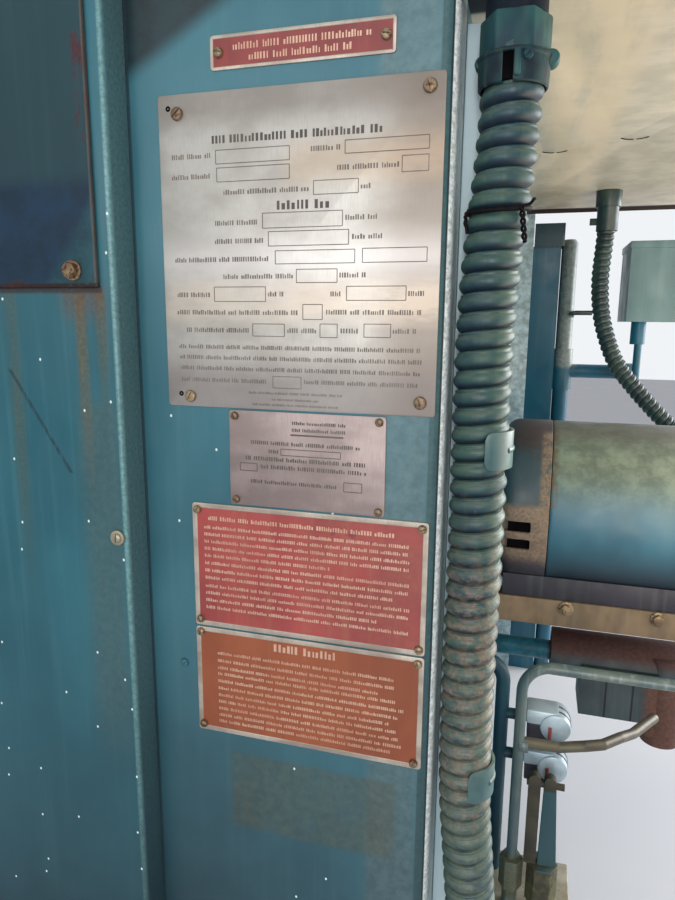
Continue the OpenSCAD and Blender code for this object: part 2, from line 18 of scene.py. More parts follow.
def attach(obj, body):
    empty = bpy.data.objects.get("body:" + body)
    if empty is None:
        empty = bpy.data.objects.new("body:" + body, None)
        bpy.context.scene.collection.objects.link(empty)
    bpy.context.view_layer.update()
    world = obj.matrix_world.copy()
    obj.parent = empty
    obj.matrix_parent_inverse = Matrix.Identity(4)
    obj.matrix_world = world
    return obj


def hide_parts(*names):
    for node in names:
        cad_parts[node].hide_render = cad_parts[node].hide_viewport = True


logging.basicConfig(level=logging.INFO, format="%(name)s: %(message)s")
LOG = logging.getLogger("boiler_corner")

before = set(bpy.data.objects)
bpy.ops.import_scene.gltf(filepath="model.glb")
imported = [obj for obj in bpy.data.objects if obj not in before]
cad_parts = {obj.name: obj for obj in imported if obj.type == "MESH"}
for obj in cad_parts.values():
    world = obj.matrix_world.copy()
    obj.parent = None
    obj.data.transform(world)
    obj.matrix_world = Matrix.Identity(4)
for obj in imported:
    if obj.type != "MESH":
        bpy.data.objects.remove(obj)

MM = 0.001
ORIGIN = Vector((0.300, -0.042, 0.200))
# a stain of full cover whose edge is no wider than this has no bare spots, so it needs no grain
WHOLE_EDGE = 0.1

Triple = tuple[float, float, float]
Pair = tuple[float, float]
Shade = tuple[int, int, int]
Test = Callable[[Vector, Vector], bool]


def at(x: float, y: float, z: float) -> Vector:
    """Return a place given in millimetres from the seam as a point of the row frame."""
    return Vector((x, y, z)) * MM + ORIGIN


def linear(shade: Shade) -> tuple[float, float, float, float]:
    """Return a screen colour, given in bytes, as the linear colour that shaders take."""
    parts = [value / 255 for value in shade]
    return tuple(p / 12.92 if p < 0.04045 else ((p + 0.055) / 1.055) ** 2.4 for p in parts) + (1.0,)


# Finishes


class Graph:
    """Adds and joins the nodes of one material with short calls."""

    def __init__(self, name: str) -> None:
        """Start a material that has only its shader.

        Args:
            name: Name of the material.
        """
        self.material = bpy.data.materials.new(name)
        self.material.use_nodes = True
        self.tree = self.material.node_tree
        self.shader = self.tree.nodes["Principled BSDF"]
        self.place = self.node("ShaderNodeTexCoord").outputs["Object"]

    def node(self, kind: str, **settings: object) -> bpy.types.Node:
        """Add a node.

        Args:
            kind: Blender's name of the node type.
            **settings: Properties to set on it.

        Returns:
            The new node.
        """
        made = self.tree.nodes.new(kind)
        for key, value in settings.items():
            setattr(made, key, value)
        return made

    def feed(self, socket: bpy.types.NodeSocket, value: object) -> None:
        """Join an output to an input, or write a plain value on it.

        Args:
            socket: Input to feed.
            value: Output of a node, or a plain value.
        """
        if isinstance(value, bpy.types.NodeSocket):
            self.tree.links.new(value, socket)
        else:
            socket.default_value = value

    def set(self, name: str, value: object) -> None:
        """Give an input of the shader a value or an output."""
        self.feed(self.shader.inputs[name], value)

    def math(self, operation: str, first: object, second: object = 0.0) -> bpy.types.NodeSocket:
        """Return the result of one sum on two values.

        Args:
            operation: Blender's name of the sum.
            first: Output or number.
            second: Output or number.

        Returns:
            The result's output.
        """
        made = self.node("ShaderNodeMath", operation=operation)
        self.feed(made.inputs[0], first)
        self.feed(made.inputs[1], second)
        return made.outputs[0]

    def stretched(self, size: Triple) -> bpy.types.NodeSocket:
        """Return the place on the piece, measured in steps of size millimetres.

        Args:
            size: Size of a step along each axis.

        Returns:
            The place's output.
        """
        made = self.node("ShaderNodeVectorMath", operation="MULTIPLY")
        self.feed(made.inputs[0], self.place)
        made.inputs[1].default_value = [1 / (step * MM) for step in size]
        return made.outputs[0]

    def noise(self, size: Triple, detail: float = 3.0, rough: float = 0.55) -> bpy.types.NodeSocket:
        """Return a cloudy pattern from 0 to 1 whose clouds are about size millimetres.

        Args:
            size: Size of a cloud along each axis.
            detail: How many finer layers are added.
            rough: Weight of each finer layer.

        Returns:
            The pattern's output.
        """
        made = self.node("ShaderNodeTexNoise")
        self.feed(made.inputs["Vector"], self.stretched(size))
        made.inputs["Scale"].default_value = 1.0
        made.inputs["Detail"].default_value = detail
        made.inputs["Roughness"].default_value = rough
        return made.outputs[0]

    def step(self, value: object, low: float, high: float) -> bpy.types.NodeSocket:
        """Return 0 below low, 1 above high and a soft rise between them.

        Args:
            value: Output or number.
            low: Value at which the rise starts.
            high: Value at which it ends.

        Returns:
            The result's output.
        """
        made = self.node("ShaderNodeMapRange", interpolation_type="SMOOTHSTEP")
        self.feed(made.inputs["Value"], value)
        made.inputs["From Min"].default_value = low
        made.inputs["From Max"].default_value = high
        return made.outputs[0]

    def blend(self, share: object, under: object, over: object) -> bpy.types.NodeSocket:
        """Return the colour under, covered by the colour over by a share from 0 to 1.

        Args:
            share: How much the colour over covers.
            under: Output or colour below.
            over: Output or colour on top.

        Returns:
            The colour's output.
        """
        made = self.node("ShaderNodeMix", data_type="RGBA")
        self.feed(made.inputs[0], share)
        self.feed(made.inputs[6], under)
        self.feed(made.inputs[7], over)
        return made.outputs[2]

    def inside(self, low: Triple, high: Triple, soft: float, slant: float = 0.0) -> bpy.types.NodeSocket:
        """Return 1 inside a box of the drawing and 0 outside, over a soft edge.

        Args:
            low: Lowest corner, in millimetres from the seam.
            high: Highest corner.
            soft: Width of the soft edge in millimetres.
            slant: How far the box leans to the right for each millimetre upwards.

        Returns:
            The share of the box at each point.
        """
        split = self.node("ShaderNodeSeparateXYZ")
        self.feed(split.inputs[0], self.place)
        first, last = at(*low), at(*high)
        share: object = 1.0
        for axis in range(3):
            if high[axis] - low[axis] > 1500:
                continue
            value = split.outputs[axis]
            if axis == 0 and slant:
                rise = self.math("SUBTRACT", split.outputs[2], first.z)
                value = self.math("SUBTRACT", value, self.math("MULTIPLY", rise, slant))
            half = soft * MM / 2
            share = self.math("MULTIPLY", share, self.step(value, first[axis] - half, first[axis] + half))
            fall = self.step(value, last[axis] - half, last[axis] + half)
            share = self.math("MULTIPLY", share, self.math("SUBTRACT", 1.0, fall))
        return share

    def bump(self, height: object, strength: float, depth: float) -> None:
        """Give the shader a bumpy surface.

        Args:
            height: The pattern.
            strength: Share of the full effect.
            depth: Depth of the bumps in millimetres.
        """
        made = self.node("ShaderNodeBump")
        made.inputs["Strength"].default_value = strength
        made.inputs["Distance"].default_value = depth * MM
        self.feed(made.inputs["Height"], height)
        self.feed(self.shader.inputs["Normal"], made.outputs[0])


EVERYWHERE = ((-2000.0, -2000.0, -2000.0), (2000.0, 2000.0, 2000.0))


@dataclass(frozen=True)
class StainOrPaintedLight:
    """Rust, bare primer, residue, faded paint, painted light and painted shade: one of these inside one
    box, fading out towards its foot.
    """

    shade: Shade
    low: Triple = EVERYWHERE[0]
    high: Triple = EVERYWHERE[1]
    cover: float = 0.5
    grain: Triple = (6.0, 6.0, 6.0)
    soft: float = 4.0
    edge: float = 0.08
    rough: float = 0.75
    strength: float = 1.0
    fade: float = 0.0
    slant: float = 0.0

    def share(self, graph: Graph) -> bpy.types.NodeSocket:
        """Return how much of the box's colour covers each point.

        Args:
            graph: Shader tree of the finish.

        Returns:
            The share's output, from 0 to 1.
        """
        share = graph.inside(self.low, self.high, self.soft, self.slant)
        if self.cover < 1 or self.edge > WHOLE_EDGE:
            grain = graph.noise(self.grain, 5.0, 0.62)
            bare = 1 - self.cover
            share = graph.math("MULTIPLY", graph.step(grain, bare - self.edge, bare + self.edge), share)
        share = graph.math("MULTIPLY", share, self.strength)
        if self.fade:
            split = graph.node("ShaderNodeSeparateXYZ")
            graph.feed(split.inputs[0], graph.place)
            low, high = at(*self.low).z, at(*self.high).z
            share = graph.math("MULTIPLY", share, graph.step(split.outputs[2], low,
                                                             low + (high - low) * self.fade))
        return share


@dataclass(frozen=True)
class Paint:
    """Old gloss paint: cloudy, run, specked and stained, with painted top light and underside shade where
    its top and under colours are set.
    """

    name: str
    shade: Shade
    deep: Shade
    pale: Shade
    rough: float = 0.36
    cloud: float = 90.0
    runs: float = 0.35
    run_width: float = 7.0
    specks: float = 0.0
    metal: float = 0.0
    peel: float = 0.10
    # The first of these lightens upward faces in patches, partly dust and partly painted top light; the
    # second darkens downward faces as painted shade.
    dust_and_top_light: Shade | None = None
    under: Shade | None = None
    gloss: float = 0.5
    stains_and_painted_light: tuple[StainOrPaintedLight, ...] = ()

    def material(self) -> bpy.types.Material:
        """Return the material, made at its first use.

        Returns:
            The material.
        """
        known = bpy.data.materials.get(self.name)
        if known is not None:
            return known
        graph = Graph(self.name)
        cloud = graph.step(graph.noise((self.cloud, self.cloud, self.cloud * 1.8), 2.0), 0.34, 0.66)
        colour = graph.blend(cloud, linear(self.shade), linear(self.deep))
        run = graph.step(graph.noise((self.run_width, self.run_width, self.run_width * 30), 3.0), 0.48,
                         0.78)
        colour = graph.blend(graph.math("MULTIPLY", run, self.runs), colour, linear(self.pale))
        fine = graph.noise((1.6, 1.6, 1.6), 4.0, 0.7)
        colour = graph.blend(graph.math("MULTIPLY", graph.step(fine, 0.5, 0.75), 0.28), colour,
                             linear(self.deep))
        rough: object = graph.blend(graph.step(graph.noise((22.0, 22.0, 30.0)), 0.3, 0.7),
                                    (self.rough * 0.85,) * 3 + (1,), (self.rough * 1.3,) * 3 + (1,))
        height: object = graph.math("MULTIPLY", graph.noise((3.2, 3.2, 3.2), 2.0), 0.5)
        # Upward faces lighten in patches, partly dust and partly painted top light; downward faces darken
        # to the under colour as painted shade.
        if self.dust_and_top_light is not None and self.under is not None:
            normal = graph.node("ShaderNodeSeparateXYZ")
            graph.feed(normal.inputs[0], graph.node("ShaderNodeNewGeometry").outputs["Normal"])
            rise = normal.outputs[2]
            patch = graph.step(graph.noise((9.0, 9.0, 5.0), 3.0), 0.25, 0.6)
            upper = graph.math("MULTIPLY", graph.step(rise, -0.05, 0.6), patch)
            colour = graph.blend(graph.math("MULTIPLY", upper, 0.85), colour, linear(self.dust_and_top_light))
            lower = graph.math("SUBTRACT", 1.0, graph.step(rise, -0.75, -0.05))
            colour = graph.blend(graph.math("MULTIPLY", lower, 0.85), colour, linear(self.under))
        for stain_or_light in self.stains_and_painted_light:
            share = stain_or_light.share(graph)
            tone = graph.step(graph.noise((stain_or_light.grain[0] * 0.3,) * 3, 4.0, 0.7), 0.3, 0.7)
            dark = tuple(int(value * 0.72) for value in stain_or_light.shade)
            colour = graph.blend(share, colour, graph.blend(tone, linear(stain_or_light.shade), linear(dark)))
            rough = graph.blend(share, rough, (stain_or_light.rough,) * 3 + (1,))
            height = graph.math("SUBTRACT", height, graph.math("MULTIPLY", share, 0.35))
        if self.specks:
            split = graph.node("ShaderNodeSeparateXYZ")
            graph.feed(split.inputs[0], graph.stretched((25.0, 25.0, 33.0)))
            flat = graph.node("ShaderNodeCombineXYZ")
            graph.feed(flat.inputs[0], split.outputs[0])
            graph.feed(flat.inputs[1], split.outputs[2])
            dots = graph.node("ShaderNodeTexVoronoi", voronoi_dimensions="2D")
            graph.feed(dots.inputs["Vector"], flat.outputs[0])
            dots.inputs["Scale"].default_value = 1.0
            near = graph.math("SUBTRACT", 1.0, graph.step(dots.outputs["Distance"], 0.018, 0.034))
            pick = graph.node("ShaderNodeSeparateColor")
            graph.feed(pick.inputs[0], dots.outputs["Color"])
            chosen = graph.step(pick.outputs[0], 1 - self.specks, 1.001 - self.specks)
            colour = graph.blend(graph.math("MULTIPLY", near, chosen), colour, linear((214, 226, 222)))
        graph.set("Base Color", colour)
        graph.set("Roughness", rough)
        graph.set("Metallic", self.metal)
        graph.set("Specular IOR Level", self.gloss)
        graph.bump(height, 0.55, self.peel)
        return graph.material


@dataclass(frozen=True)
class Brushed:
    """Thin sheet metal with rolling or brushing marks, tarnish and pits, and boxes that can also hold
    painted shade.
    """

    name: str
    shade: Shade
    deep: Shade
    grain: Triple = (0.35, 0.35, 30.0)
    metal: float = 0.45
    rough: float = 0.42
    pits: float = 0.2
    stains_and_painted_light: tuple[StainOrPaintedLight, ...] = ()

    def material(self) -> bpy.types.Material:
        """Return the material, made at its first use.

        Returns:
            The material.
        """
        known = bpy.data.materials.get(self.name)
        if known is not None:
            return known
        graph = Graph(self.name)
        lines = graph.noise(self.grain, 3.0, 0.6)
        cloud = graph.step(graph.noise((28.0, 28.0, 18.0), 3.0), 0.32, 0.68)
        colour = graph.blend(cloud, linear(self.shade), linear(self.deep))
        colour = graph.blend(graph.math("MULTIPLY", graph.step(lines, 0.42, 0.72), 0.45), colour,
                             linear(self.deep))
        pit = graph.step(graph.noise((0.9, 0.9, 0.9), 4.0, 0.75), 0.60, 0.72)
        dark = tuple(int(value * 0.55) for value in self.deep)
        colour = graph.blend(graph.math("MULTIPLY", pit, self.pits), colour, linear(dark))
        rough: object = graph.blend(lines, (self.rough * 0.8,) * 3 + (1,), (self.rough * 1.3,) * 3 + (1,))
        for stain_or_light in self.stains_and_painted_light:
            share = stain_or_light.share(graph)
            colour = graph.blend(share, colour, linear(stain_or_light.shade))
            rough = graph.blend(share, rough, (stain_or_light.rough,) * 3 + (1,))
        graph.set("Base Color", colour)
        graph.set("Roughness", rough)
        graph.set("Metallic", self.metal)
        graph.bump(lines, 0.35, 0.05)
        return graph.material


@dataclass(frozen=True)
class Wool:
    """Matted mineral wool with loose fibres."""

    name: str
    shade: Shade
    deep: Shade

    def material(self) -> bpy.types.Material:
        """Return the material, made at its first use.

        Returns:
            The material.
        """
        known = bpy.data.materials.get(self.name)
        if known is not None:
            return known
        graph = Graph(self.name)
        fibre = graph.noise((0.8, 5.0, 5.0), 6.0, 0.75)
        lump = graph.noise((24.0, 24.0, 24.0), 4.0)
        colour = graph.blend(graph.step(lump, 0.35, 0.65), linear(self.shade), linear(self.deep))
        colour = graph.blend(graph.math("MULTIPLY", graph.step(fibre, 0.45, 0.7), 0.6), colour,
                             linear((96, 82, 52)))
        graph.set("Base Color", colour)
        graph.set("Roughness", 0.95)
        graph.bump(graph.math("ADD", fibre, lump), 1.0, 2.5)
        return graph.material


RUST = (126, 74, 42)
RUST_DARK = (74, 46, 34)

SIDE_PAINT = Paint(
    "side_panel_teal",
    (40, 98, 110),
    (28, 84, 96),
    (62, 114, 122),
    rough=0.38,
    specks=0.34,
    gloss=0.4,
    stains_and_painted_light=(
        StainOrPaintedLight((88, 92, 76), (-30, -40, -430), (-3, -18, -170), 0.72, (14, 14, 200), 16, 0.3, 0.45, 0.5,
              0.3),
        StainOrPaintedLight((84, 88, 60), (-78, -40, -330), (-69, -18, -104), 0.62, (8, 8, 160), 7, 0.2, 0.5, 0.5, 0.7),
        StainOrPaintedLight((108, 90, 44), (-27.5, -40, -230), (-21, -18, -106), 0.74, (6, 6, 130), 5, 0.2, 0.5, 0.7,
              0.75),
        StainOrPaintedLight((94, 88, 54), (-13.5, -40, -190), (-7, -18, -106), 0.70, (6, 6, 130), 5, 0.2, 0.5, 0.65,
              0.75),
        StainOrPaintedLight((108, 68, 34), (-37, -40, -132), (-8, -18, -103.5), 0.62, (9, 9, 22), 9, 0.2, 0.6, 0.72, 1.0),
        StainOrPaintedLight((54, 36, 30), (-300, -40, -107), (-9, -18, -103), 0.70, (9, 9, 4), 2, 0.14, 0.7, 0.8),
        StainOrPaintedLight((22, 50, 62), (-38.8, -40, -214), (-36.2, -18, -152), 0.55, (3, 3, 7), 1.4, 0.1, 0.4, 0.8,
              slant=-0.64),
        StainOrPaintedLight((26, 56, 68), (-110, -40, -330), (-22, -18, -140), 0.20, (4, 4, 10), 16, 0.04, 0.4, 0.75),
        StainOrPaintedLight((26, 50, 58), (-110, -40, -700), (-3, -18, -330), 0.22, (5, 5, 14), 30, 0.06, 0.4, 0.55),
        # Painted highlight: a pale line down the side panel's right-hand bend.
        StainOrPaintedLight((112, 160, 160), (-3.2, -80, -900), (-0.6, 60, 300), 1.0, (9, 9, 60), 1.4, 0.06, 0.3, 0.8),
        # Painted light: the return flange beside the bend is lightened.
        StainOrPaintedLight((100, 128, 130), (-0.6, -80, -900), (2, 60, 300), 0.9, (8, 8, 60), 1.5, 0.3, 0.5, 0.6),
        # Painted shade: the side panel darkens towards the bottom.
        StainOrPaintedLight((24, 46, 56), (-900, -900, -1200), (900, 900, -440), 1.0, (90, 90, 200), 420, 0.06, 0.42,
              0.9),
    ),
)
COVER_PAINT = Paint(
    "access_cover_teal",
    (30, 62, 68),
    (22, 52, 60),
    (48, 76, 78),
    rough=0.40,
    cloud=120.0,
    runs=0.22,
    gloss=0.25,
    stains_and_painted_light=(
        # Painted reflection: a dark blue diagonal over the lower left of the cover, with a lighter teal
        # band beside it.
        StainOrPaintedLight((10, 44, 70), (-400, -80, -130), (-50.8, 80, -46), 1.0, (60, 60, 60), 13, 0.06, 0.3, 0.85,
              slant=0.7),
        StainOrPaintedLight((36, 84, 94), (-46, -80, -108), (40, 80, -50), 1.0, (40, 40, 60), 12, 0.06, 0.32, 0.6,
              slant=0.7),
        StainOrPaintedLight((78, 38, 44), (-17.5, -40, -26), (-9.6, 0, 28), 0.52, (4, 4, 13), 3, 0.07, 0.6, 0.85),
        # A pale worn line down the cover's right edge, partly a painted edge highlight.
        StainOrPaintedLight((96, 84, 76), (-11.2, -40, -104), (-9, 0, 290), 0.62, (2, 2, 22), 1.0, 0.2, 0.5, 0.7),
        StainOrPaintedLight((46, 30, 30), (-300, -40, -106), (-9, 0, -101.5), 0.66, (8, 8, 5), 1.6, 0.10, 0.8, 0.95),
        StainOrPaintedLight((66, 38, 34), (-300, -40, -106), (-60, 0, -99), 0.42, (9, 9, 5), 3, 0.08, 0.8, 0.8),
        StainOrPaintedLight((14, 36, 50), (-24, -40, -60), (-16, 0, -48), 0.36, (3.4, 3.4, 3), 4, 0.05, 0.5),
    ),
)
CORNER_PAINT = Paint(
    "corner_panel_teal",
    (58, 110, 122),
    (46, 94, 106),
    (78, 122, 128),
    rough=0.36,
    runs=0.30,
    specks=0.22,
    gloss=0.4,
    stains_and_painted_light=(
        # Painted shade: the top left of the corner panel is darker above a slanting line.
        StainOrPaintedLight((20, 46, 52), (-900, -900, 8), (-4, 900, 400), 1.0, (40, 40, 40), 26, 0.06, 0.42, 1.0,
              slant=1.8),
        # Painted shade: a dark strip along the seam where the corner panel meets the side panel.
        StainOrPaintedLight((30, 48, 58), (-30, -60, -720), (1.8, 60, 301), 0.95, (6, 6, 60), 1.2, 0.3, 0.5, 0.85),
        # Painted highlight: the corner panel lightens towards its right-hand bend.
        StainOrPaintedLight((112, 128, 126), (146, -60, -720), (177, 60, 301), 1.0, (24, 24, 90), 8, 0.3, 0.45, 0.5),
        # Painted shade on the bend: a darker band and a dark line at its outer edge.
        StainOrPaintedLight((46, 78, 78), (177, -60, -720), (182.4, 60, 301), 1.0, (9, 9, 60), 1.2, 0.06, 0.5, 0.8),
        StainOrPaintedLight((14, 26, 28), (181.8, -60, -720), (182.8, 60, 301), 1.0, (9, 9, 60), 0.5, 0.06, 0.5, 0.9),
        # Painted shade: the corner panel darkens towards the bottom.
        StainOrPaintedLight((30, 48, 58), (-900, -900, -1200), (182, 900, -380), 1.0, (90, 90, 200), 420, 0.06, 0.42,
              0.85),
        # Painted reflection: the outer edge of the bend and the return face are near white.
        StainOrPaintedLight((236, 244, 242), (182.8, -60, -720), (190, 60, 301), 1.0, (9, 9, 60), 0.5, 0.06, 0.4, 1.0),
        StainOrPaintedLight((82, 84, 62), (55, -5, -452), (164, 1, -398), 0.72, (18, 18, 30), 5, 0.34, 0.45, 0.6),
        StainOrPaintedLight((88, 82, 52), (55, -5, -452), (164, 1, -398), 0.30, (5, 5, 9), 4, 0.12, 0.5, 0.5),
        # Dark red primer above the strut, partly a painted shadow of the cabinet.
        StainOrPaintedLight((74, 34, 34), (186 - 5, -5, 33), (190, 31, 301), 0.78, (6, 6, 14), 3, 0.1, 0.5),
        # Painted light: the return face behind the conduit is near white.
        StainOrPaintedLight((196, 216, 220), (184.2, 10, -720), (190, 31, 301), 0.95, (20, 20, 60), 3, 0.3, 0.35, 0.9),
        StainOrPaintedLight((40, 50, 52), (179, -5, -420), (190, 10, 40), 0.22, (2.5, 2.5, 9), 3, 0.05, 0.5, 0.9),
    ),
)
# Painted light: the strut is painted near white, standing in for the light that falls into the slot behind
# the conduit.
STRUT_PAINTED_LIGHT = Paint("strut_teal_painted_light", (206, 224, 228), (178, 204, 212), (232, 236, 232), rough=0.32,
                     runs=0.5)
FRAME_PAINT = Paint(
    "frame_worn_teal",
    (40, 84, 94),
    (30, 66, 76),
    (66, 100, 100),
    rough=0.5,
    stains_and_painted_light=(StainOrPaintedLight(RUST, cover=0.27, grain=(14, 14, 26), edge=0.05),),
)
CONDUIT_PAINT = Paint(
    "conduit_teal",
    (44, 76, 70),
    (22, 56, 66),
    (76, 94, 70),
    rough=0.42,
    gloss=0.4,
    cloud=22.0,
    runs=0.5,
    run_width=4.0,
    specks=0.05,
    # Patches of dust and painted top light on upward faces, painted shade on downward faces.
    dust_and_top_light=(78, 94, 82),
    under=(8, 22, 40),
    stains_and_painted_light=(
        StainOrPaintedLight((136, 116, 100), (-900, -900, -420), (900, 900, -250), 0.48, (6, 6, 4), 60, 0.12, 0.5, 0.7),
        StainOrPaintedLight((124, 90, 64), (180, -10, -330), (230, 12, -190), 0.36, (5, 5, 4), 30, 0.10, 0.45, 0.55),
        StainOrPaintedLight((150, 152, 132), (180, -10, -640), (240, 20, -330), 0.52, (12, 12, 4), 90, 0.2, 0.35, 0.55),
    ),
)
FITTING_PAINT = Paint(
    "fitting_teal",
    (36, 78, 78),
    (16, 46, 58),
    (74, 98, 80),
    rough=0.5,
    gloss=0.25,
    cloud=16.0,
    runs=0.45,
    stains_and_painted_light=(StainOrPaintedLight(RUST_DARK, cover=0.22, grain=(5, 5, 8), edge=0.05),),
)
# Painted shade: the connector's neck is near black, as in the shadow above the body.
NECK_SHADE_PAINT = Paint("connector_neck_painted_shade", (16, 28, 38), (12, 20, 30), (70, 58, 62), rough=0.6, cloud=14.0,
                   gloss=0.15)
JAW_PAINT = Paint("connector_jaw_dark", (24, 54, 56), (8, 24, 36), (64, 90, 66), rough=0.5, cloud=9.0,
                  runs=0.5,
                  run_width=5.0, gloss=0.25)
# The strap takes dust and painted top light on upward faces and painted shade on downward faces.
STRAP_PAINT = Paint("strap_teal", (66, 98, 96), (48, 80, 84), (104, 128, 118), rough=0.36, cloud=14.0,
                    dust_and_top_light=(112, 128, 112), under=(34, 60, 76))
DATA_METAL = Brushed(
    "data_plate_metal",
    (182, 179, 172),
    (162, 158, 150),
    grain=(0.4, 0.4, 9.0),
    stains_and_painted_light=(
        StainOrPaintedLight((120, 106, 94), (150, -60, -900), (900, 60, 900), 1.0, (40, 40, 60), 40, 0.1, 0.5, 0.72),
        StainOrPaintedLight((112, 102, 94), (-900, -60, -16), (900, 60, 90), 1.0, (40, 40, 20), 16, 0.1, 0.5, 0.5),
        StainOrPaintedLight((116, 108, 106), (-900, -60, -900), (900, 60, -146), 1.0, (40, 40, 20), 26, 0.1, 0.5, 0.6),
        StainOrPaintedLight((226, 220, 219), (0, -5, -98), (200, 1, -78), 0.80, (40, 40, 8), 26, 0.3, 0.4, 0.85),
        StainOrPaintedLight((188, 160, 128), (95, -5, -50), (190, 1, -28), 0.62, (20, 20, 10), 14, 0.2, 0.5, 0.6),
        StainOrPaintedLight((214, 196, 176), (20, -5, -122), (190, 1, -100), 0.6, (30, 30, 8), 12, 0.25, 0.45, 0.7),
        StainOrPaintedLight((98, 88, 82), cover=0.2, grain=(3, 3, 3), edge=0.04, strength=0.6),
    ),
)
SMALL_METAL = Brushed("approval_plate_metal", (150, 135, 131), (128, 114, 110), grain=(0.4, 0.4, 9.0),
                      pits=0.35)
BORDER_METAL = Brushed("plate_border_metal", (186, 176, 162), (146, 132, 120), pits=0.45)
RED_ENAMEL = Paint("red_enamel", (158, 64, 60), (136, 52, 50), (150, 90, 68), rough=0.42, cloud=34.0,
                   runs=0.5,
                   stains_and_painted_light=(StainOrPaintedLight((160, 104, 82), (110, -5, -320), (190, 1, -225), 0.55, (18, 18, 18), 40,
                                 0.25, 0.5, 0.8),
                           StainOrPaintedLight((120, 40, 56), (110, -5, -248), (150, 1, -238), 0.4, (4, 4, 4), 6, 0.06,
                                 0.5, 0.8)))
ORANGE_ENAMEL = Paint("orange_enamel", (144, 74, 40), (126, 62, 32), (152, 88, 54), rough=0.42, cloud=34.0)
TAG_ENAMEL = Paint("tag_enamel", (138, 50, 46), (116, 42, 40), (150, 74, 66), rough=0.42, cloud=20.0)
MARK_DARK = Brushed("etched_marks_dark", (70, 64, 60), (92, 84, 78), metal=0.2, rough=0.6)
MARK_SOFT = Brushed("etched_marks_soft", (122, 112, 104), (100, 90, 84), metal=0.3, rough=0.6)
MARK_PALE = Brushed("raised_marks_pale", (204, 170, 148), (186, 140, 118), metal=0.4, rough=0.5)
SCREW_METAL = Brushed(
    "screw_metal", (150, 132, 104), (108, 88, 68), pits=0.6,
    stains_and_painted_light=(StainOrPaintedLight(RUST_DARK, cover=0.42, grain=(2.5, 2.5, 2.5), edge=0.1),),
)
BOLT_RUST = Brushed(
    "bolt_rust", (150, 128, 92), (98, 72, 54), pits=0.6, rough=0.5,
    stains_and_painted_light=(StainOrPaintedLight((66, 40, 36), cover=0.45, grain=(2.0, 2.0, 2.0), edge=0.1),),
)
ZINC_METAL = Brushed(
    "zinc_metal", (176, 170, 150), (138, 130, 110), pits=0.4, rough=0.4,
    stains_and_painted_light=(StainOrPaintedLight((96, 84, 56), cover=0.34, grain=(2.2, 2.2, 2.2), edge=0.1),),
)
CABINET_METAL = Brushed(
    "cabinet_worn_sheet",
    (206, 197, 180),
    (184, 177, 160),
    grain=(26.0, 1.4, 26.0),
    metal=0.25,
    rough=0.38,
    pits=0.12,
    stains_and_painted_light=(
        StainOrPaintedLight((226, 208, 178), (228, -20, 30), (282, 760, 60), 0.62, (16, 90, 10), 24, 0.2, 0.4, 0.7),
        StainOrPaintedLight((120, 112, 92), (180, 560, 30), (270, 760, 60), 0.52, (30, 40, 10), 60, 0.2, 0.45, 0.6),
        StainOrPaintedLight((44, 28, 26), (150, 726, 20), (480, 780, 48), 1.0, (8, 8, 8), 2, 0.2, 0.6),
        # Painted shadow: a dark navy patch on the underside beside the top connector.
        StainOrPaintedLight((20, 30, 42), (170, -20, 30), (197, 46, 60), 0.95, (8, 8, 8), 5, 0.1, 0.6),
    ),
)
MOTOR_PAINT = Paint(
    "motor_barrel_teal",
    (54, 102, 122),
    (44, 88, 108),
    (84, 124, 128),
    rough=0.38,
    cloud=50.0,
    runs=0.1,
    specks=0.1,
    stains_and_painted_light=(
        # Painted reflection of the cabinet: olive grey over the barrel's upper part and brown grey at its
        # top.
        StainOrPaintedLight((134, 146, 126), (240, -900, -286), (900, 900, -100), 1.0, (70, 40, 18), 52, 0.06, 0.45, 0.9),
        StainOrPaintedLight((104, 98, 92), (240, -900, -238), (900, 900, -100), 1.0, (60, 40, 12), 16, 0.06, 0.4, 0.7),
        # Painted shade: the barrel darkens to navy towards its bottom.
        StainOrPaintedLight((14, 24, 38), (240, -900, -600), (900, 900, -352), 1.0, (60, 40, 12), 62, 0.06, 0.5, 0.95),
        StainOrPaintedLight((108, 92, 70), (248, 300, -300), (258, 420, -228), 0.56, (5, 5, 14), 5, 0.2, 0.7, 0.8),
    ),
)
BELL_PAINT = Paint(
    "motor_bell_teal",
    (34, 58, 68),
    (34, 48, 54),
    (62, 78, 74),
    rough=0.46,
    cloud=26.0,
    stains_and_painted_light=(
        StainOrPaintedLight((56, 40, 40), (100, -900, -246), (254, 900, -100), 1.0, (20, 20, 10), 14, 0.2, 0.5, 0.85),
        StainOrPaintedLight((126, 108, 92), (190, 290, -366), (254, 420, -300), 0.86, (10, 10, 8), 7, 0.16, 0.7, 0.95),
        StainOrPaintedLight((122, 104, 86), (242, 290, -310), (256, 420, -234), 0.58, (7, 7, 12), 5, 0.14, 0.7),
        # Painted shade: the bell darkens towards its bottom.
        StainOrPaintedLight((50, 48, 58), (100, -900, -600), (254, 900, -358), 1.0, (20, 20, 10), 16, 0.2, 0.5, 0.9),
        StainOrPaintedLight((70, 44, 36), (200, 290, -366), (254, 420, -222), 0.28, (5, 5, 5), 7, 0.05, 0.8),
    ),
)
CRADLE_PAINT = Paint("motor_cradle_grey", (40, 38, 50), (30, 30, 42), (98, 102, 98), rough=0.5,
                     cloud=40.0, runs=0.25)
SHELF_PAINT = Paint(
    "shelf_weathered",
    (116, 98, 76),
    (92, 78, 60),
    (134, 120, 98),
    rough=0.6,
    cloud=20.0,
    runs=0.2,
    stains_and_painted_light=(StainOrPaintedLight(RUST_DARK, cover=0.26, grain=(9, 9, 5), edge=0.06),
            StainOrPaintedLight((70, 92, 92), cover=0.3, grain=(30, 30, 8))),
)
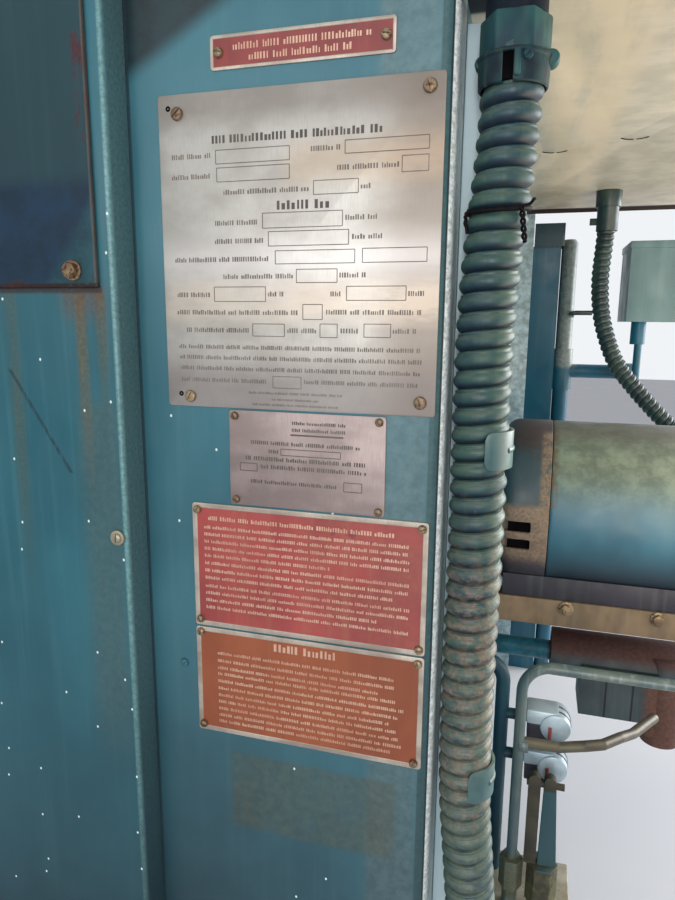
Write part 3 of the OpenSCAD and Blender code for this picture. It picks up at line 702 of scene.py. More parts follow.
COLUMN_PAINT = Paint("far_column_teal", (10, 90, 116), (18, 78, 98), (80, 112, 122), rough=0.4, cloud=60.0,
                     # Painted shade: the columns darken at their tops under the cabinet.
                     stains_and_painted_light=(StainOrPaintedLight((30, 52, 62), (180, 700, -12), (270, 800, 60), 0.9, (20, 20, 20), 3,
                                   0.3, 0.5, 0.8),
                             StainOrPaintedLight((128, 138, 132), (259, 740, -190), (290, 800, 10), 0.9, (20, 20, 60),
                                   8, 0.3, 0.4, 0.85)))
BOX_PAINT = Paint("far_box_teal", (98, 130, 134), (84, 112, 118), (120, 146, 146), rough=0.45, cloud=60.0)
TUBE_PAINT = Paint("tube_teal", (92, 104, 98), (70, 88, 92), (150, 164, 164), rough=0.34, cloud=24.0,
                   runs=0.6,
                   stains_and_painted_light=(StainOrPaintedLight((112, 96, 62), cover=0.24, grain=(6, 6, 12)),
                           StainOrPaintedLight((96, 96, 66), (220, 180, -640), (252, 220, -596), 0.7, (8, 8, 8), 4, 0.2,
                                 0.6, 0.8)))
PIPE_PAINT = Paint("stand_pipe_teal", (30, 68, 82), (22, 54, 68), (70, 98, 102), rough=0.44, cloud=40.0,
                   gloss=0.3)
PUMP_PAINT = Paint("pump_teal", (56, 70, 74), (42, 54, 58), (78, 88, 84), rough=0.5, cloud=24.0,
                   stains_and_painted_light=(StainOrPaintedLight((76, 46, 42), (262, 340, -484), (480, 460, -440), 0.70, (14, 14, 8), 14,
                                 0.14),
                           StainOrPaintedLight((98, 64, 50), (364, 340, -590), (420, 420, -496), 0.75, (12, 12, 12), 10,
                                 0.2),
                           StainOrPaintedLight((40, 112, 134), (170, 330, -540), (263, 470, -440), 0.95, (30, 30, 30),
                                 3, 0.3, 0.4),
                           StainOrPaintedLight((22, 26, 30), (323.5, 330, -560), (325.5, 372, -496), 1.0, (9, 9, 9),
                                 0.6, 0.3),
                           StainOrPaintedLight((22, 26, 30), (350.5, 330, -560), (352.5, 372, -496), 1.0, (9, 9, 9),
                                 0.6, 0.3),
                           StainOrPaintedLight(RUST, cover=0.24, grain=(7, 7, 7), strength=0.6)))
FUEL_METAL = Brushed("fuel_tube_metal", (96, 90, 72), (70, 64, 52), metal=0.25, pits=0.4)
SWITCH_METAL = Brushed("switch_cover_metal", (188, 204, 212), (156, 174, 186), metal=0.3, pits=0.15)
SWITCH_BODY = Paint("switch_body_grey", (58, 54, 66), (44, 42, 52), (104, 100, 106), rough=0.45, cloud=20.0)
LINK_METAL = Brushed("linkage_worn_metal", (70, 66, 52), (52, 48, 38), metal=0.15, pits=0.5, rough=0.65,
                     stains_and_painted_light=(StainOrPaintedLight((44, 78, 84), (258, 180, -602), (278, 220, -526), 0.86, (12, 12, 30),
                                   2, 0.16, 0.5),
                             StainOrPaintedLight((92, 90, 56), (236, 180, -645), (290, 220, -600), 0.5, (10, 10, 10), 4,
                                   0.16, 0.6),
                             StainOrPaintedLight((48, 76, 78), cover=0.26, grain=(9, 9, 16), edge=0.12)))
BLACK_WIRE = Paint("tie_wire_black", (10, 8, 12), (6, 6, 9), (58, 40, 34), rough=0.5, cloud=8.0, gloss=0.1)
WOOL = Wool("mineral_wool", (176, 160, 104), (148, 132, 84))
# Painted shade: near black for holes, slits, gaps and the insides of parts where no light reaches.
PAINTED_SHADE_BLACK = Paint("painted_shade_black", (10, 8, 10), (6, 5, 7), (18, 14, 12), rough=0.9, cloud=8.0, gloss=0.05)
CONDUIT_FAR = Paint("far_conduit_teal", (42, 62, 60), (28, 44, 48), (84, 96, 82), rough=0.38, cloud=16.0)
BACK_STEEL = Paint("front_plate_teal", (56, 100, 110), (44, 84, 96), (78, 114, 118), rough=0.38,
                   # Painted highlight: a pale strip at the far end of the front plate.
                   stains_and_painted_light=(StainOrPaintedLight((172, 198, 206), (180, 735, -720), (230, 746, 60), 0.9, (30, 30, 60), 4,
                                 0.3, 0.3),))


# Modelling moves


class Part(Enum):
    """What an edit picks."""

    FACE = "FACE"
    EDGE = "EDGE"
    POINT = "VERT"


def clear() -> None:
    """Leave edit mode and deselect every object."""
    if bpy.context.object is not None and bpy.context.object.mode != "OBJECT":
        bpy.ops.object.mode_set(mode="OBJECT")
    bpy.ops.object.select_all(action="DESELECT")


def activate(piece: bpy.types.Object) -> None:
    """Make one object the only selected one."""
    clear()
    piece.select_set(True)
    bpy.context.view_layer.objects.active = piece


def edit_all(piece: bpy.types.Object) -> None:
    """Open a piece for edits with all of it selected.

    Args:
        piece: Object to edit.
    """
    activate(piece)
    bpy.ops.object.mode_set(mode="EDIT")
    bpy.ops.mesh.select_mode(type="VERT")
    bpy.ops.mesh.select_all(action="SELECT")


def pick(piece: bpy.types.Object, part: Part, test: Test) -> None:
    """Open a piece for edits with the parts selected that pass a test.

    Args:
        piece: The piece.
        part: Faces, edges or points.
        test: Takes a part's middle and its normal or direction, and says whether it is picked.
    """
    edit_all(piece)
    bpy.ops.mesh.select_mode(type=part.value)
    bpy.ops.mesh.select_all(action="DESELECT")
    bpy.ops.object.mode_set(mode="OBJECT")
    mesh = piece.data
    if part is Part.FACE:
        for face in mesh.polygons:
            face.select = test(face.center, face.normal)
    elif part is Part.EDGE:
        for edge in mesh.edges:
            first, last = (mesh.vertices[index].co for index in edge.vertices)
            edge.select = test((first + last) / 2, (last - first).normalized())
    else:
        for point in mesh.vertices:
            point.select = test(point.co, point.normal)
    bpy.ops.object.mode_set(mode="EDIT")


def settle(piece: bpy.types.Object) -> bpy.types.Object:
    """Move a piece's place, turn and size into its mesh.

    Args:
        piece: Object to settle.

    Returns:
        The same object.
    """
    activate(piece)
    bpy.ops.object.transform_apply(location=True, rotation=True, scale=True)
    return piece


def outwards(piece: bpy.types.Object) -> None:
    """Merge doubles and turn every face outwards.

    Args:
        piece: Object to mend.
    """
    edit_all(piece)
    bpy.ops.mesh.remove_doubles(threshold=1e-6)
    bpy.ops.mesh.normals_make_consistent(inside=False)
    bpy.ops.object.mode_set(mode="OBJECT")


def modify(piece: bpy.types.Object, kind: str, **settings: object) -> None:
    """Add one modifier to a piece and apply it.

    Args:
        piece: The piece.
        kind: Blender's name of the modifier type.
        **settings: Properties to set on it.
    """
    activate(piece)
    modifier = piece.modifiers.new(kind.lower(), kind)
    for key, value in settings.items():
        setattr(modifier, key, value)
    bpy.ops.object.modifier_apply(modifier=modifier.name)


def soft_edges(piece: bpy.types.Object, width: float, segments: int = 2,
               angle: float = 35.0) -> bpy.types.Object:
    """Round every sharp edge of a piece.

    Args:
        piece: The piece.
        width: Width of the rounding in millimetres.
        segments: Faces across the rounding.
        angle: Least angle, in degrees, of an edge that is rounded.

    Returns:
        The piece.
    """
    modify(piece, "BEVEL", width=width * MM, segments=segments, limit_method="ANGLE",
           angle_limit=math.radians(angle), use_clamp_overlap=True)
    return piece


def slab(name: str, low: Triple, high: Triple, edge: float = 0.6) -> bpy.types.Object:
    """Add a block with rounded edges.

    Args:
        name: Name of the object.
        low: Lowest corner in millimetres from the seam.
        high: Highest corner.
        edge: Width of the rounding in millimetres.

    Returns:
        The new object.
    """
    clear()
    first, last = at(*low), at(*high)
    bpy.ops.mesh.primitive_cube_add(size=1, location=(first + last) / 2)
    piece = bpy.context.object
    piece.name = name
    piece.scale = last - first
    settle(piece)
    return soft_edges(piece, edge) if edge else piece


def rod(name: str, start: Triple, end: Triple, across: float, sides: int = 32,
        edge: float = 0.6) -> bpy.types.Object:
    """Add a round or many-sided bar between two places.

    Args:
        name: Name of the object.
        start: Middle of the first end, in millimetres from the seam.
        end: Middle of the last end.
        across: Diameter in millimetres.
        sides: Number of sides.
        edge: Width of the rounding of its rims in millimetres.

    Returns:
        The new object.
    """
    clear()
    first, last = at(*start), at(*end)
    axis = last - first
    bpy.ops.mesh.primitive_cylinder_add(vertices=sides, radius=across * MM / 2, depth=axis.length,
                                        location=(first + last) / 2,
                                        rotation=axis.to_track_quat("Z", "Y").to_euler())
    piece = bpy.context.object
    piece.name = name
    settle(piece)
    return soft_edges(piece, edge) if edge else piece


def wire(name: str, points: Sequence[Vector]) -> bpy.types.Object:
    """Draw a line of edges by extruding one point from place to place.

    Args:
        name: Name of the object.
        points: Places in the row frame, in metres.

    Returns:
        The line of edges.
    """
    clear()
    bpy.ops.mesh.primitive_plane_add(size=MM, location=points[0])
    piece = bpy.context.object
    piece.name = name
    edit_all(piece)
    bpy.ops.mesh.merge(type="CENTER")
    for first, last in zip(points, points[1:]):
        bpy.ops.mesh.extrude_region_move(TRANSFORM_OT_translate={"value": last - first})
    bpy.ops.object.mode_set(mode="OBJECT")
    return settle(piece)


def turned(name: str, profile: Sequence[Pair], start: Triple, towards: Triple,
           steps: int = 48) -> bpy.types.Object:
    """Spin a profile round an axis, as on a lathe.

    Args:
        name: Name of the object.
        profile: Pairs of radius and height in millimetres, from the start upwards.
        start: Where the axis starts, in millimetres from the seam.
        towards: Direction of the axis.
        steps: Number of faces round the axis.

    Returns:
        The new object.
    """
    piece = wire(name, [Vector((radius, 0, height)) * MM for radius, height in profile])
    edit_all(piece)
    bpy.ops.mesh.spin(steps=steps, angle=math.tau, center=(0, 0, 0), axis=(0, 0, 1))
    outwards(piece)
    turn = Vector(towards).to_track_quat("Z", "Y").to_matrix().to_4x4()
    piece.data.transform(Matrix.Translation(at(*start)) @ turn)
    return piece


def cut_out(name: str, outline: Sequence[Triple], depth: Triple, edge: float = 0.5) -> bpy.types.Object:
    """Fill a closed outline and extrude it.

    Args:
        name: Name of the object.
        outline: Corners in millimetres from the seam.
        depth: How far it is extruded, in millimetres.
        edge: Width of the rounding of its edges.

    Returns:
        The new object.
    """
    corners = [at(*corner) for corner in outline]
    piece = wire(name, corners + corners[:1])
    edit_all(piece)
    bpy.ops.mesh.remove_doubles(threshold=1e-6)
    bpy.ops.mesh.edge_face_add()
    bpy.ops.mesh.extrude_region_move(TRANSFORM_OT_translate={"value": Vector(depth) * MM})
    outwards(piece)
    return soft_edges(piece, edge) if edge else piece


def rounded(points: Sequence[Triple], radius: float, steps: int = 8) -> list[Vector]:
    """Return a path through the points, in millimetres, whose corners are arcs of a radius.

    Args:
        points: Ends and corners of the path.
        radius: Radius of the arcs.
        steps: Straight pieces in an arc.

    Returns:
        The path's points.
    """
    path = [Vector(points[0])]
    for before, corner, after in zip(points, points[1:], points[2:]):
        middle = Vector(corner)
        back, ahead = (Vector(before) - middle).normalized(), (Vector(after) - middle).normalized()
        half = back.angle(ahead) / 2
        reach = min(radius / math.tan(half), (Vector(before) - middle).length * 0.49,
                    (Vector(after) - middle).length * 0.49)
        bend = reach * math.tan(half)
        centre = middle + (back + ahead).normalized() * (bend / math.sin(half))
        first, last = middle + back * reach - centre, middle + ahead * reach - centre
        path += [centre + first.slerp(last, k / steps) for k in range(steps + 1)]
    return path + [Vector(points[-1])]


def tube(name: str, points: Sequence[Triple], across: float, bend: float = 0.0,
         sides: int = 6) -> bpy.types.Object:
    """Bend a round tube along a path.

    Args:
        name: Name of the object.
        points: Path in millimetres from the seam.
        across: Diameter in millimetres.
        bend: Radius of the bends, or 0 where the path is already smooth.
        sides: Quality of the round section.

    Returns:
        The new object.
    """
    path = rounded(points, bend) if bend else [Vector(point) for point in points]
    clear()
    curve = bpy.data.curves.new(name, "CURVE")
    curve.dimensions = "3D"
    curve.bevel_depth = across * MM / 2
    curve.bevel_resolution = sides
    curve.use_fill_caps = True
    spline = curve.splines.new("POLY")
    spline.points.add(len(path) - 1)
    for point, place in zip(spline.points, path):
        point.co = (*at(*place), 1)
    piece = bpy.data.objects.new(name, curve)
    bpy.context.scene.collection.objects.link(piece)
    activate(piece)
    bpy.ops.object.convert(target="MESH")
    piece = bpy.context.object
    outwards(piece)
    return piece


def join(pieces: Sequence[bpy.types.Object], name: str) -> bpy.types.Object:
    """Join several objects, with their materials, into one.

    Args:
        pieces: Objects to join. The first one stays.
        name: Name of the result.

    Returns:
        The joined object.
    """
    clear()
    for piece in pieces:
        piece.select_set(True)
    bpy.context.view_layer.objects.active = pieces[0]
    if len(pieces) > 1:
        bpy.ops.object.join()
    pieces[0].name = name
    return pieces[0]


def cut(piece: bpy.types.Object, tool: bpy.types.Object) -> bpy.types.Object:
    """Cut the shape of a tool out of a piece, and remove the tool."""
    modify(piece, "BOOLEAN", object=tool, operation="DIFFERENCE", solver="EXACT")
    bpy.data.objects.remove(tool)
    return piece


def coat(piece: bpy.types.Object, finish: object) -> bpy.types.Object:
    """Give all of a piece one finish."""
    piece.data.materials.clear()
    piece.data.materials.append(finish.material())
    return piece


def repeat(pattern: bpy.types.Object, places: Iterable[Matrix], name: str) -> bpy.types.Object:
    """Copy a pattern to each place, each copy with its own mesh, and join the copies.

    Args:
        pattern: Object that is copied and then removed.
        places: Where the copies go, in the row frame.
        name: Name of the joined object.

    Returns:
        The joined object.
    """
    twins = []
    for place in places:
        twin = bpy.data.objects.new(name, pattern.data.copy())
        twin.data.transform(place)
        bpy.context.scene.collection.objects.link(twin)
        twins.append(twin)
    bpy.data.objects.remove(pattern)
    return join(twins, name)


def softened(node: str, width: float = 0.6, segments: int = 2) -> bpy.types.Object:
    """Copy a solid of the model, merge its loose faces and round its edges.

    Args:
        node: Name of the solid.
        width: Width of a round edge in millimetres, or 0 for sharp ones.
        segments: Faces across an edge.

    Returns:
        The copy.
    """
    clear()
    piece = bpy.data.objects.new(node + "_dressed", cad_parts[node].data.copy())
    bpy.context.scene.collection.objects.link(piece)
    edit_all(piece)
    bpy.ops.mesh.remove_doubles(threshold=2e-6)
    bpy.ops.mesh.dissolve_limited(angle_limit=math.radians(0.6))
    bpy.ops.mesh.normals_make_consistent(inside=False)
    bpy.ops.object.mode_set(mode="OBJECT")
    return soft_edges(piece, width, segments) if width else piece


def present(piece: bpy.types.Object, *nodes: str, slot: str, smooth: float = 32.0) -> bpy.types.Object:
    """Finish a piece: smooth it, let it ride on the body and hide the nodes it stands for.

    Args:
        piece: The piece, already in place and coated.
        *nodes: Nodes of the model that it replaces.
        slot: Slot of the record that its finish comes from; not used.
        smooth: Angle in degrees under which faces are shaded as one surface.

    Returns:
        The piece.
    """
    settle(piece)
    bpy.ops.object.shade_smooth_by_angle(angle=math.radians(smooth))
    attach(piece, "root")
    if nodes:
        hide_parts(*nodes)
    LOG.info("%s: %d faces", piece.name, len(piece.data.polygons))
    return piece


# Fasteners


class Head(Enum):
    """Kinds of fastener by their head."""

    PAN = "pan"
    HEX = "hex"


@dataclass
class Fastener:
    """A screw or bolt head with its seat on a surface."""

    head: Head = Head.PAN
    across: float = 7.0
    rise: float = 2.4
    washer: float = 0.0

    def pattern(self) -> bpy.types.Object:
        """Build the head at the frame's zero, facing +Z.

        Returns:
            The head as an object of its own.
        """
        radius = self.across / 2
        zero = tuple(-value / MM for value in ORIGIN)
        if self.head is Head.PAN:
            profile = [(0, -0.4), (radius, -0.4), (radius, self.rise * 0.35),
                       (radius * 0.86, self.rise * 0.75),
                       (radius * 0.5, self.rise * 0.97), (0, self.rise)]
            made = turned("pan_head", profile, zero, (0, 0, 1), 20)
            slot = slab("slot", (zero[0] - self.across, zero[1] - self.across * 0.07,
                                 zero[2] + self.rise * 0.55),
                        (zero[0] + self.across, zero[1] + self.across * 0.07, zero[2] + self.rise * 2), 0)
            made = cut(made, slot)
        else:
            top = (zero[0], zero[1], zero[2] + self.rise)
            made = rod("hex_head", (zero[0], zero[1], zero[2] + (1.2 if self.washer else -0.4)), top,
                       self.across * 1.1547, 6, self.across * 0.07)
        if self.washer:
            ring = rod("washer", (zero[0], zero[1], zero[2] - 0.4), (zero[0], zero[1], zero[2] + 1.3),
                       self.washer, 28,
                       0.3)
            made = join([made, ring], "head_and_washer")
        return made

    def set_at(self, name: str, places: Sequence[Triple], facing: Triple, finish: object,
               seed: int = 1) -> bpy.types.Object:
        """Place heads on a surface, each turned by its own angle.

        Args:
            name: Name of the joined piece.
            places: Seats in millimetres from the seam.
            facing: Direction that the heads face.
            finish: Finish of the heads.
            seed: Seed of the turns.

        Returns:
            The joined heads.
        """
        chance = random.Random(seed)
        turn = Vector(facing).to_track_quat("Z", "Y").to_matrix().to_4x4()
        matrices = [Matrix.Translation(at(*place)) @ turn @ Matrix.Rotation(chance.uniform(0, math.pi), 4,
                "Z")
                    for place in places]
        return coat(repeat(self.pattern(), matrices, name), finish)


# Casing


@dataclass
class Casing:
    """Folded side panel with its access cover, and the corner panel bent round to the front."""

    side_w: float = 300.0
    corner_w: float = 185.0
    up: float = 300.0
    down: float = 700.0
    sheet: float = 2.0
    proud: float = 20.5
    bend: float = 7.0
    side_bend: float = 3.0
    lap: float = 30.0
    turn: float = 30.0
    cover_w: float = 270.0
    cover_gap: float = 10.0
    cover_low: float = 104.0
    cover_top_gap: float = 16.0
    cover_t: float = 3.0
    bolt_inset: float = 15.0

    def face(self, name: str, left: float, right: float, front: float) -> bpy.types.Object:
        """Add a grid that stands upright and faces the viewer.

        Args:
            name: Name of the object.
            left: Left edge in millimetres from the seam.
            right: Right edge.
            front: Depth of the face.

        Returns:
            The grid.
        """
        clear()
        bpy.ops.mesh.primitive_grid_add(x_subdivisions=26, y_subdivisions=80, size=1,
                                        rotation=(math.pi / 2, 0, 0),
                                        location=at((left + right) / 2, front, (self.up - self.down) / 2))
        piece = bpy.context.object
        piece.name = name
        piece.scale = ((right - left) * MM, (self.up + self.down) * MM, 1)
        return settle(piece)

    def thicken(self, piece: bpy.types.Object, swell: float) -> None:
        """Give a folded face its slight waves and its thickness.

        Args:
            piece: The folded face.
            swell: Height of the waves in millimetres.
        """
        waves = bpy.data.textures.new("sheet_waves", "CLOUDS")
        waves.noise_scale = 0.22
        waves.noise_depth = 0
        modify(piece, "DISPLACE", texture=waves, texture_coords="LOCAL", direction="Y", mid_level=0.5,
               strength=swell * MM)
        modify(piece, "SOLIDIFY", thickness=(self.sheet - 0.2) * MM, offset=-1.0)

    def side_panel(self) -> None:
        """Fold the side panel: a pan whose right-hand bend catches the light."""
        front = -self.proud
        piece = self.face("side_panel_sheet", -self.side_w, 0, front)
        low, high = at(-self.side_w, front, -self.down), at(0, front, self.up)

        def rim(middle: Vector, _: Vector) -> bool:
            """Say whether an edge lies on the rim of the face."""
            return (min(abs(middle.x - low.x), abs(middle.x - high.x)) < 1e-5
                    or min(abs(middle.z - low.z), abs(middle.z - high.z)) < 1e-5)

        pick(piece, Part.EDGE, rim)
        bpy.ops.mesh.extrude_region_move(TRANSFORM_OT_translate={"value": (0, (self.proud - 0.3) * MM, 0)})
        pick(piece, Part.EDGE, lambda m,
             d: abs(m.x - high.x) < 1e-5 and abs(m.y - front * MM - ORIGIN.y) < 1e-5
             and abs(d.z) > 0.9)
        bpy.ops.mesh.bevel(offset=self.side_bend * MM, segments=6)
        bpy.ops.object.mode_set(mode="OBJECT")
        soft_edges(piece, 2.4, 3, 50)
        self.thicken(piece, 0.5)
        coat(piece, SIDE_PAINT)
        present(piece, "side_panel", slot="casing_teal", smooth=40)

    def access_cover(self) -> None:
        """Lay the cover on the side panel, with its bolts along the edges."""
        left, right = -self.cover_gap - self.cover_w, -self.cover_gap
        low, high = -self.cover_low, self.up - self.cover_top_gap
        front = -self.proud - self.cover_t
        piece = slab("access_cover_plate", (left, front, low), (right, -self.proud + 0.4, high), 0)
        pick(piece, Part.FACE, lambda m, n: n.y < -0.9)
        bpy.ops.mesh.inset(thickness=1.6 * MM, depth=0)
        bpy.ops.mesh.subdivide(number_cuts=20)
        bpy.ops.object.mode_set(mode="OBJECT")
        soft_edges(piece, 0.9, 3, 50)
        coat(piece, COVER_PAINT)
        present(piece, "access_cover", slot="cover_teal")
        inset = self.bolt_inset
        rows = [low + 9.5, low + 194.5, high - 14]
        places = [(x, front, z) for z in rows for x in (left + inset, right - inset)]
        bolts = Fastener(Head.HEX, 8.0, 5.0, 11.4).set_at("cover_bolts", places, (0, -1, 0), BOLT_RUST, 4)
        present(bolts, slot="linkage_metal")
        rows = [self.up - 30, 60, -252, -660]
        places = [(-7.0, front + self.cover_t - 0.3, z) for z in rows]
        places += [(-self.side_w + 9, front + self.cover_t - 0.3, z) for z in rows]
        screws = Fastener(Head.PAN, 6.4, 3.0, 9.4).set_at("side_panel_screws", places, (0, -1, 0),
                                                          ZINC_METAL, 6)
        present(screws, slot="linkage_metal")

    def corner_panel(self) -> None:
        """Bend the corner panel round to the front."""
        piece = self.face("corner_panel_sheet", -self.lap, self.corner_w, 0)
        edge = at(self.corner_w, 0, 0)
        pick(piece, Part.EDGE, lambda m, d: abs(m.x - edge.x) < 1e-5)
        bpy.ops.mesh.extrude_region_move(TRANSFORM_OT_translate={"value": (0, self.turn * MM, 0)})
        pick(piece, Part.EDGE, lambda m,
             d: abs(m.x - edge.x) < 1e-5 and abs(m.y - edge.y) < 1e-5 and abs(d.z) > 0.9)
        bpy.ops.mesh.bevel(offset=self.bend * MM, segments=6)
        bpy.ops.object.mode_set(mode="OBJECT")
        self.thicken(piece, 0.3)
        coat(piece, CORNER_PAINT)
        present(piece, "corner_panel", slot="casing_teal", smooth=40)
        places = [(23.5, 0, -339.9), (23.5, 0, -640), (170, 0, -640), (23.5, 0, 200), (170, 0, 200)]
        screws = Fastener(Head.PAN, 5.6, 1.8).set_at("corner_panel_screws", places, (0, -1, 0),
                                                     CORNER_PAINT, 8)
        present(screws, slot="linkage_metal")

    def build(self) -> None:
        """Build the sheets in order."""
        self.side_panel()
        self.access_cover()
        self.corner_panel()


@dataclass
class CasingFrame:
    """Posts, rails, front plate and wool behind the sheets."""

    posts: tuple[str, ...] = ("side_post", "corner_post", "front_post")
    rails: tuple[str, ...] = ("top_side_rail", "bottom_side_rail", "top_front_rail", "bottom_front_rail")
    wool: tuple[str, ...] = ("side_insulation", "front_insulation")

    def build(self) -> None:
        """Round and coat the steel, and pack the wool."""
        for node in self.posts + self.rails:
            present(coat(softened(node, 0.8), FRAME_PAINT), node, slot="frame_teal")
        present(coat(softened("front_panel", 0.5), BACK_STEEL), "front_panel", slot="casing_teal")
        for node in self.wool:
            piece = softened(node, 0.0)
            modify(piece, "REMESH", mode="VOXEL", voxel_size=0.006)
            lumps = bpy.data.textures.new("wool_lumps", "CLOUDS")
            lumps.noise_scale = 0.03
            lumps.noise_depth = 3
            modify(piece, "DISPLACE", texture=lumps, texture_coords="LOCAL", mid_level=1.0, strength=0.004)
            present(coat(piece, WOOL), node, slot="wool", smooth=80)


# Rating plates


@dataclass(frozen=True)
class Row:
    """One row of blank marks in place of lettering."""

    left: float
    right: float
    level: float
    tall: float = 2.6
    heavy: float = 0.26


@dataclass(frozen=True)
class Field:
    """One ruled blank box."""

    left: float
    right: float
    low: float
    high: float


@dataclass
class Plate:
    """A thin riveted plate with an optional raised border, marks, boxes and screws."""

    node: str
    left: float
    top: float
    width: float
    height: float
    metal: Brushed
    slot: str
    enamel: Paint | None = None
    border: float = 2.6
    marks: Brushed = MARK_SOFT
    bold: tuple[Row, ...] = ()
    rows: tuple[Row, ...] = ()
    fields: tuple[Field, ...] = ()
    screws: tuple[Pair, ...] = ()
    holes: tuple[Pair, ...] = ()
    screw_d: float = 6.6
    thick: float = 1.0
    seed: int = 1

    def sheet(self) -> bpy.types.Object:
        """Cut the plate, sink its enamelled middle and round its corners.

        Returns:
            The plate.
        """
        right, low = self.left + self.width, self.top - self.height
        piece = slab(self.node + "_sheet", (self.left, -self.thick + 0.12, low), (right, 0, self.top), 0)
        coat(piece, self.metal)
        if self.enamel is not None:
            pick(piece, Part.FACE, lambda m, n: n.y < -0.9)
            bpy.ops.mesh.inset(thickness=self.border * MM, depth=0)
            bpy.ops.mesh.inset(thickness=0.3 * MM, depth=-0.22 * MM)
            piece.data.materials.append(self.enamel.material())
            piece.active_material_index = 1
            bpy.ops.object.material_slot_assign()
            bpy.ops.object.mode_set(mode="OBJECT")
        first, last = at(self.left, 0, low), at(right, 0, self.top)
        pick(piece, Part.EDGE, lambda m, d: abs(d.y) > 0.9
             and min(abs(m.x - first.x), abs(m.x - last.x)) < 1e-5
             and min(abs(m.z - first.z), abs(m.z - last.z)) < 1e-5)
        bpy.ops.mesh.bevel(offset=1.8 * MM, segments=4)
        bpy.ops.object.mode_set(mode="OBJECT")
        return soft_edges(piece, 0.16, 2, 50)

    def strokes(self, row: Row, face: float, chance: random.Random) -> list[Matrix]:
        """Return the places of the blank strokes that stand for one row of lettering.

        Args:
            row: The row.
            face: Depth of the plate's face.
            chance: Source of the lengths.

        Returns:
            One matrix for each stroke.
        """
        places: list[Matrix] = []
        x = row.left
        left_in_word = chance.randint(3, 9)
        while x < row.right - row.tall * 0.3:
            tall = row.tall * chance.choice((0.72, 1.0, 1.0))
            wide = row.tall * row.heavy * chance.uniform(0.8, 1.5)
            middle = at(x + wide / 2, face, row.level - (row.tall - tall) / 2)
            places.append(Matrix.Translation(middle) @ Matrix.Diagonal((wide * MM, 0.32 * MM, tall * MM,
                    1)))
            x += wide + row.tall * chance.uniform(0.16, 0.3)
            left_in_word -= 1
            if left_in_word == 0:
                x += row.tall * 0.55
                left_in_word = chance.randint(4, 16)
        return places

    def ruled(self, box: Field, face: float) -> list[Matrix]:
        """Return the places of the four lines of a ruled box.

        Args:
            box: Box to rule.
            face: Place of the plate's face, in millimetres.

        Returns:
            The places of its lines.
        """
        line = 0.45
        across, up = (box.left + box.right) / 2, (box.low + box.high) / 2
        wide, tall = box.right - box.left, box.high - box.low
        made = []
        for x, z, w, h in ((across, box.low, wide, line), (across, box.high, wide, line),
                           (box.left, up, line, tall), (box.right, up, line, tall)):
            made.append(Matrix.Translation(at(x, face, z)) @ Matrix.Diagonal((w * MM, 0.3 * MM, h * MM, 1)))
        return made

    def build(self) -> None:
        """Build the plate, its marks and its screws."""
        chance = random.Random(self.seed)
        sunk = 0.22 if self.enamel is not None else 0.0
        face = -self.thick + 0.12 + sunk + 0.06
        parts = [self.sheet()]
        for rows, finish, extra in ((self.bold, MARK_DARK if self.enamel is None else self.marks, ()),
                                    (self.rows, self.marks, self.fields)):
            places = [place for row in rows for place in self.strokes(row, face, chance)]
            places += [place for box in extra for place in self.ruled(box, face)]
            if not places:
                continue
            clear()
            bpy.ops.mesh.primitive_cube_add(size=1)
            stroke = bpy.context.object
            pick(stroke, Part.FACE, lambda m, n: n.y > 0.9)
            bpy.ops.mesh.delete(type="FACE")
            bpy.ops.object.mode_set(mode="OBJECT")
            parts.append(coat(repeat(stroke, places, self.node + "_marks"), finish))
        present(join(parts, self.node + "_dressed"), self.node, slot=self.slot, smooth=30)
        front = -self.thick + 0.1
        if self.screws:
            heads = Fastener(Head.PAN, self.screw_d, 2.3).set_at(
                self.node + "_screws", [(x, front, z) for x, z in self.screws], (0, -1, 0), SCREW_METAL,
                self.seed)
            present(heads, slot="linkage_metal")
        if self.holes:
            # The spare holes are dark rings of painted shade and are not cut through.
            rims = [turned("rim", [(0.4, 0.02), (1.15, 0.03), (1.35, 0.12), (1.5, 0.02)], (x, front, z),
                           (0, -1, 0), 16)
                    for x, z in self.holes]
            present(coat(join(rims, self.node + "_spare_holes"), PAINTED_SHADE_BLACK), slot="wire_black")


